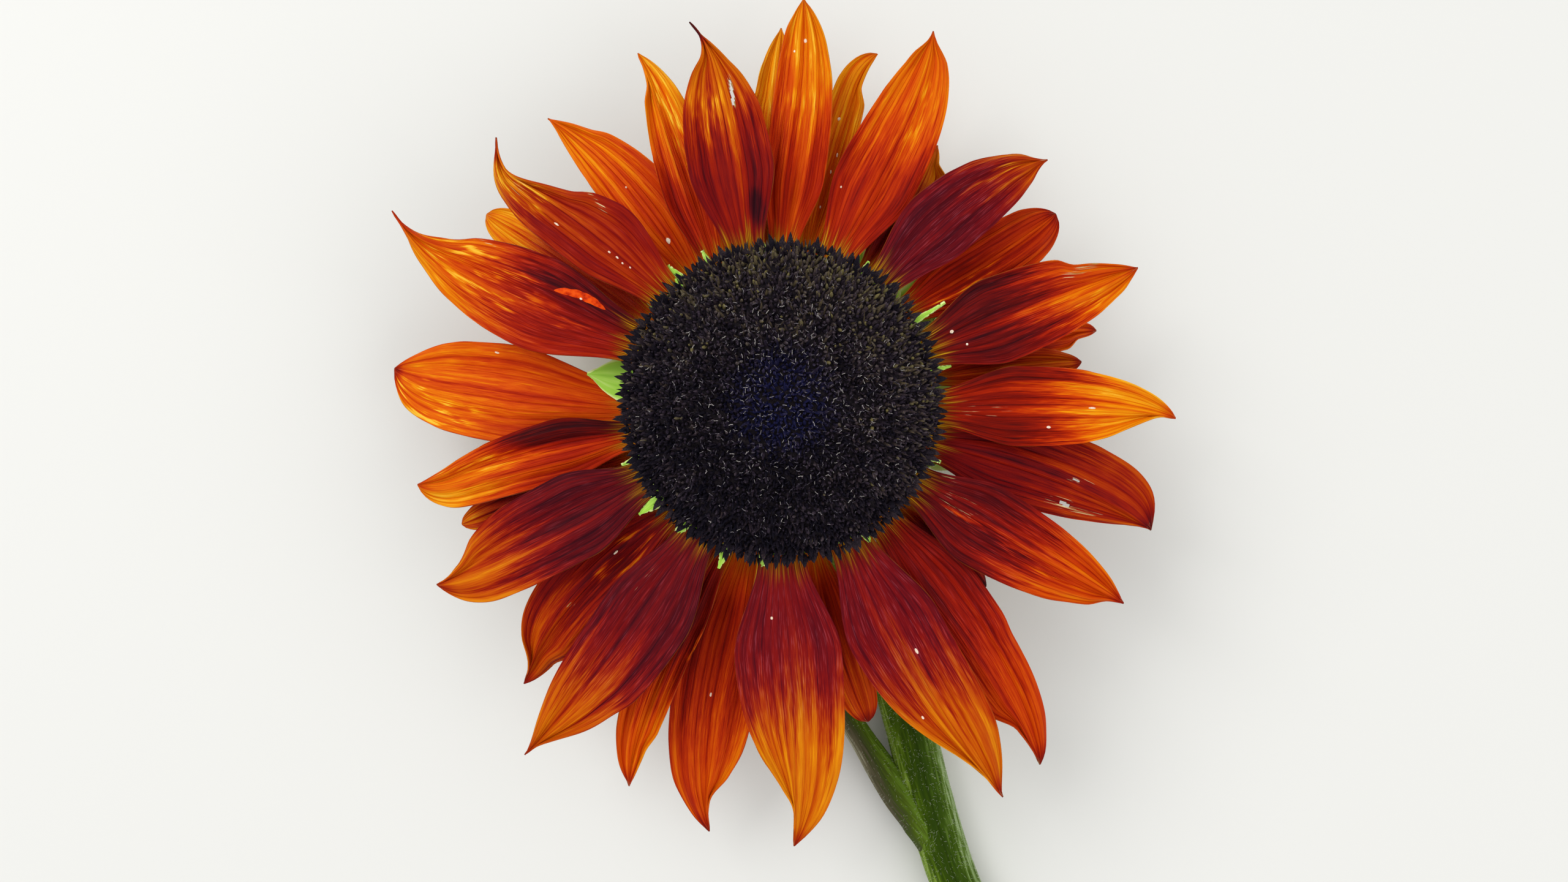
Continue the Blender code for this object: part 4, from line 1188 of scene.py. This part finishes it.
def capped(points):
    """A closed tube from a grid of rings: its quads and a fan at each end, with two more points."""
    rows, sides = points.shape[:2]
    flat = np.concatenate([points.reshape(-1, 3), [points[0].mean(axis=0)], [points[-1].mean(axis=0)]])
    ring = np.arange(sides)
    beside = np.roll(ring, -1)
    far = (rows - 1) * sides
    first = np.stack([beside, ring, 0 * ring + rows * sides], axis=-1)
    last = np.stack([ring + far, beside + far, 0 * ring + rows * sides + 1], axis=-1)
    return flat, [grid_faces(rows, sides, closed=True), first, last]


print("neck bends with a radius of", round(NECK_BEND / MM, 1), "mm")

# %% The stem's material


def stem_material(name, *stops):
    """Ribbed green skin: the flank picks the green, as painted light and shade, streaks 0.8 mm wide run
    lengthwise, pith is pale.
    """
    made, tree = new_material(name, {"Roughness": 0.65, "IOR": 1.42, "Specular IOR Level": 0.1})
    streak = streaks(tree, 0.8 * MM, 7 * MM, 4.0)
    flank = reckon(tree, reckon(tree, streak, 1.0, -0.5), 0.85, carried(tree, "flank"))
    pith = carried(tree, "pith")
    inside = ramp(tree, pith, (0.05, "#7E9A48"), (0.25, "#C4D098"), (0.6, "#EFF0DA"))
    cut = reckon(tree, pith, 0.01, operation="GREATER_THAN")
    cover(tree, mix(tree, cut, ramp(tree, flank, *stops), inside), streak, 0.6, 0.25 * MM)
    return made


STEM_SKIN = stem_material(
    "ribbed_stem_skin", (0.0, "#8AA06C"), (0.13, "#567028"), (0.28, "#344C02"), (0.5, "#263C00"),
    (0.68, "#304600"), (0.85, "#4A640A"), (1.0, "#7C9638"),
)
STALK_SKIN = stem_material(
    "woody_stalk_skin", (0.0, "#A8A890"), (0.2, "#6A644C"), (0.42, "#4C4832"), (0.6, "#3C461C"),
    (0.8, "#44560E"), (1.0, "#5A761E"),
)
print("stem materials ready")

# %% Stem, neck and stalk
GREEN_FOOT = 24 * MM  # how far the stem's green runs up the stalk
UV_ROUND = 39 * MM  # round the stem, in the streaks
NECK_SAMPLES, STEM_SAMPLES, STALK_SAMPLES = 40, 150, 90


def make_tube(name, route, radii, material, node, seed, sideways=None, green=0.0):
    """A ribbed tube, with its grid of points. Its flank is 0 on one side, a half on top and 1 on the other,
    for painted light and shade, and higher near a green foot. The end cap is pith."""
    if sideways is None:
        sideways = np.cross(np.gradient(route, axis=0), UP)
    points, angle, length = sweep(route + GROUND_UNDER_HEAD, radii, sideways, seed)
    flat, faces = capped(points)
    flank = 0.5 + 0.5 * np.sin(angle) + green * np.exp(-((length / GREEN_FOOT) ** 2))
    uv = np.stack([angle / (2 * np.pi) * UV_ROUND, length + seed * 300 * MM], axis=-1).reshape(-1, 2)
    uv = np.concatenate([uv, uv[:1], uv[-1:]])
    flank = np.append(flank, [0.5, 0.5])
    pith = np.append(np.zeros(len(flat) - 1), 1.0)
    new_piece(name, flat, faces, material, "green_stem", (node,), uv, sharp=50, flank=flank, pith=pith)
    return points


turn = np.linspace(0, np.pi / 2, NECK_SAMPLES)
bend_top = STEM_AXIS_HEIGHT + NECK_BEND
out, down = NECK_BEND * (1 - np.cos(turn)), NECK_BEND * np.sin(turn)
bend = heading * out[:, None] + UP * (bend_top - down)[:, None]
neck_route = np.concatenate([[UP * (bend_top + NECK_STUB)], bend, [bend[-1] + heading * NECK_STUB]])
shares = np.concatenate([[0], turn / (np.pi / 2), [1]])
neck_radii = STEM_RADIUS + (NECK_TOP_RADIUS - STEM_RADIUS) * (1 - shares) ** 2
neck_points = make_tube("neck_skin", neck_route, neck_radii, STEM_SKIN, "neck", 1, np.cross(heading, UP))

corners = raised(STEM_ROUTE * MM, STEM_AXIS_HEIGHT)
corners[0] = heading * (NECK_BEND + NECK_STUB) + STEM_AXIS_HEIGHT * UP
stem_route = smooth_route(corners, STEM_SAMPLES)
stem_radii = np.linspace(STEM_RADIUS, STEM_RADIUS_AT_CUT, STEM_SAMPLES)
stem_points = make_tube("stem_skin", stem_route, stem_radii, STEM_SKIN, "stem", 2)

corner = np.arange(len(STALK_ROUTE))
stalk_route = smooth_route(STALK_ROUTE[:, :3], STALK_SAMPLES)
stalk_radii = np.interp(np.linspace(0, corner[-1], STALK_SAMPLES), corner, STALK_ROUTE[:, 3])
stalk_points = make_tube("leaf_stalk_skin", stalk_route, stalk_radii, STALK_SKIN, "leaf_stalk", 3, green=0.7)
print("stem", round(float(lengths_along(stem_route)[-1]) / MM), "mm long")

# %% [markdown]
# ## Hairs
# Bristly white hairs give the stem its frosted edge. A hair is a cone of three faces, and all hairs of a
# part are one mesh. They start a little inside the skin, and none reaches below the ground.

# %% Hairs
# Dry plant hair: clear and whitish, so it takes the light strongly at a flank.
HAIR = lumpy_material(
    "stiff_white_hair", {"Roughness": 0.4, "IOR": 1.5, "Sheen Weight": 0.2},
    3 * MM, (0.35, "#C8D4AC"), (0.65, "#F2F5E4"),
)
HAIR_LENGTH, HAIR_WIDTH = 1.1 * MM, 0.026 * MM
FRINGE_LENGTH, FRINGE_WIDTH = 1.2 * MM, 0.04 * MM
HAIR_LEAN = 0.45
HAIR_SUNK = 0.15 * MM
CLEAR_OF_GROUND = 0.2 * MM


def grow_hairs(name, roots, ways, length, thick, slot, seed):
    """Cones from the roots along the ways, each tilted a little at random; those that reach the ground go."""
    rng = np.random.default_rng(seed)
    ways = unit(ways + HAIR_LEAN * rng.normal(size=ways.shape))
    lengths = length * (0.6 + 0.7 * rng.random(len(roots)))
    clear = (roots + ways * lengths[:, None])[:, 2] > CLEAR_OF_GROUND
    roots, ways, lengths = roots[clear], ways[clear], lengths[clear]
    cone, sides = ringed(((1, 0), (0, 1)), 3)
    sides = np.append(sides, [[0, 2, 1]], axis=0)
    axes = axes_from(ways, np.roll(ways, -1, axis=1))
    points, faces = scatter(cone, sides, roots - ways * HAIR_SUNK, axes, sized(thick, thick, lengths))
    new_piece(name, points, [faces], HAIR, slot, sharp=180)
    print(name, len(roots))


def skin_spots(points, count, seed):
    """Random points of a grid of rings, and the way out from the ring's middle at each."""
    rng = np.random.default_rng(seed)
    row = rng.integers(1, len(points) - 2, count)
    side = rng.integers(0, points.shape[1], count)
    blend = rng.random((count, 1))
    roots = points[row, side] * (1 - blend) + points[row + 1, side] * blend
    return roots, unit(points[row, side] - points[row].mean(axis=1))


tubes = (
    ("stem_hairs", stem_points, 6000), ("neck_hairs", neck_points, 1000), ("stalk_hairs", stalk_points, 1000)
)
for seed, (name, tube_points, count) in enumerate(tubes, start=31):
    grow_hairs(name, *skin_spots(tube_points, count, seed), HAIR_LENGTH, HAIR_WIDTH, "green_stem", seed)
roots, ways = np.concatenate(edge_points), np.concatenate(edge_ways)
grow_hairs("bract_hairs", roots, ways, FRINGE_LENGTH, FRINGE_WIDTH, "green_scales", 34)

# %% [markdown]
# ## The leaf
# One leaf is tucked under the head, on the ground. A sunflower leaf is heart-shaped and toothed, with a
# strong pale midrib and side veins that sink into its upper face, and the panels between them puff up.

# %% The leaf
LEAF_START = np.array([-0.6, -50.2, 4.4]) * MM
LEAF_HEADING = 305.0
LEAF_LENGTH = 90 * MM
LEAF_HALF_WIDTH = 24 * MM
LEAF_WIDEST_AT = 0.16
LEAF_THICKNESS = 0.5 * MM
LEAF_ROWS, LEAF_COLUMNS = 177, 61
LEAF_TEETH = 11
LEAF_TOOTH = 0.07
LEAF_WAVE = 2.2 * MM
LEAF_PUFF = 0.45 * MM
LEAF_REST = 0.6 * MM  # its lowest height above the ground
SIDE_VEINS = 9


def leaf_veins(along, across):
    """1 on a vein and 0 between: the midrib, and side veins that lean forward as they leave it."""
    midrib = np.exp(-((across * LEAF_HALF_WIDTH / (0.9 * MM)) ** 2))
    lean = along - 0.2 * np.abs(across) ** 1.3
    off = np.abs((lean * SIDE_VEINS + 0.25) % 1 - 0.5) / SIDE_VEINS * LEAF_LENGTH
    side = np.exp(-((off / (0.55 * MM)) ** 2)) * (1 - 0.6 * np.abs(across))
    return np.maximum(midrib, side)


def leaf_material():
    """Matt green blade with yellow-green veins, a net of finer ones about 3 mm wide, and a paler back."""
    made, tree = new_material("rough_green_leaf", {"Roughness": 0.5, "IOR": 1.42, "Sheen Weight": 0.1})
    cells = {"Vector": add_node(tree, "TexCoord", "Object"), "Scale": 1 / (2.8 * MM)}
    net = add_node(tree, "TexVoronoi", "Distance", cells, feature="DISTANCE_TO_EDGE")
    tone = ramp(tree, noise(tree, 9 * MM, 3.0), (0.35, "#2E6A10"), (0.65, "#5C9C1C"))
    lines = ramp(tree, net, (0.0, "#9A9A9A"), (0.12, "#000000"))
    vein, under = carried(tree, "vein"), carried(tree, "under")
    for factor, over in ((lines, "#3C7A12"), (vein, "#A8C85A"), (under, "#9AB873")):
        tone = mix(tree, factor, tone, colour(over))
    cover(tree, tone, net, 0.5, 0.5 * MM)
    return made


def make_leaf():
    """Points ahead along the midrib and aside by the toothed half width, resting on the ground with waved
    sides."""
    along, across = sheet(LEAF_ROWS, LEAF_COLUMNS)
    ahead, right = spoke_at(LEAF_HEADING), spoke_at(LEAF_HEADING + 90)
    beyond = np.clip((along - LEAF_WIDEST_AT) / (1 - LEAF_WIDEST_AT), 0, 1)
    body = np.where(along < LEAF_WIDEST_AT, np.sqrt(along / LEAF_WIDEST_AT), 1 - beyond**1.7)
    tooth = 1 - LEAF_TOOTH * (1 - np.abs((along * 2 * LEAF_TEETH) % 2 - 1))
    half = LEAF_HALF_WIDTH * np.maximum(0.02, body * tooth)
    middle = LEAF_START + ahead * LEAF_LENGTH * along[..., None] + right * (half * across)[..., None]
    height = LEAF_REST + (LEAF_START[2] - LEAF_REST) * (1 - smoothstep(along / 0.3))
    wave = LEAF_WAVE * np.abs(across) ** 1.5 * (1 + 0.6 * np.sin(9 * along + 2 * across))
    vein = leaf_veins(along, across)
    puff = LEAF_PUFF * (1 - vein) * smoothstep(along / 0.1) * smoothstep((1 - np.abs(across)) / 0.15)
    middle[..., 2] = height + wave * smoothstep(along / 0.15) + puff
    middle = middle + GROUND_UNDER_HEAD
    new_sheet("leaf_blade_dressed", middle, LEAF_THICKNESS, leaf_material(), "leaf_green", ("leaf_blade",),
              vein=0.8 * vein, under=0.5)


make_leaf()
print("leaf", round(LEAF_LENGTH / MM), "mm long")

# %% [markdown]
# ## Floor, light and camera
# The bloom lies on a plain pale floor under two large soft lamps, with the camera straight above it, as the
# photograph looks straight into the flower's face. The wide lens close to the bloom is what makes
# the front petals look a little larger than those behind.

# %% Floor
FLOOR_SIZE = 3.0
floor_mesh = bpy.data.meshes.new("floor")
floor_points = FLOOR_SIZE / 2 * np.array([(-1, -1, 0), (1, -1, 0), (1, 1, 0), (-1, 1, 0)], float)
floor_mesh.from_pydata(floor_points.tolist(), [], [(0, 1, 2, 3)])
floor = bpy.data.objects.new("floor", floor_mesh)
floor_paint, _ = new_material("pale_floor", {"Roughness": 0.9, "Base Color": colour("#E6E6E2")})
floor_mesh.materials.append(floor_paint)
bpy.context.scene.collection.objects.link(floor)
print("floor", FLOOR_SIZE, "m wide")

# %% Light
world = bpy.data.worlds.new("studio")
world.use_nodes = True
world.node_tree.nodes["Background"].inputs["Color"].default_value = colour("#FFFFFF")
world.node_tree.nodes["Background"].inputs["Strength"].default_value = 0.66
bpy.context.scene.world = world


def lamp(name, place, size, power):
    """A square area lamp that faces the head."""
    data = bpy.data.lights.new(name, "AREA")
    data.shape = "SQUARE"
    data.size = size
    data.energy = power
    made = bpy.data.objects.new(name, data)
    made.location = place
    made.rotation_euler = (Vector(HEAD) - Vector(place)).to_track_quat("-Z", "Y").to_euler()
    bpy.context.scene.collection.objects.link(made)


lamp("key", (-0.8, 0.7, 1.0), 0.9, 11)
lamp("fill", (0.9, -0.5, 0.9), 1.2, 6)
bpy.context.scene.view_settings.view_transform = "Standard"
print("lit by a white world and", len(bpy.data.lights), "lamps")

# %% Camera
LENS, SENSOR = 26.0, 36.0  # mm
CAMERA_HEIGHT = 235 * MM  # above the disc's face
AIM = (0.635 * MM, -8.0 * MM)  # the picture's middle beside the head's axis
camera_data = bpy.data.cameras.new("camera")
camera_data.lens = LENS
camera_data.sensor_width = SENSOR
camera_data.clip_start = 0.01
camera = bpy.data.objects.new("camera", camera_data)
camera.location = (HEAD[0] + AIM[0], HEAD[1] + AIM[1], HEAD[2] + CAMERA_HEIGHT)
bpy.context.scene.collection.objects.link(camera)
bpy.context.scene.camera = camera
print("camera at", [round(v, 4) for v in camera.location])
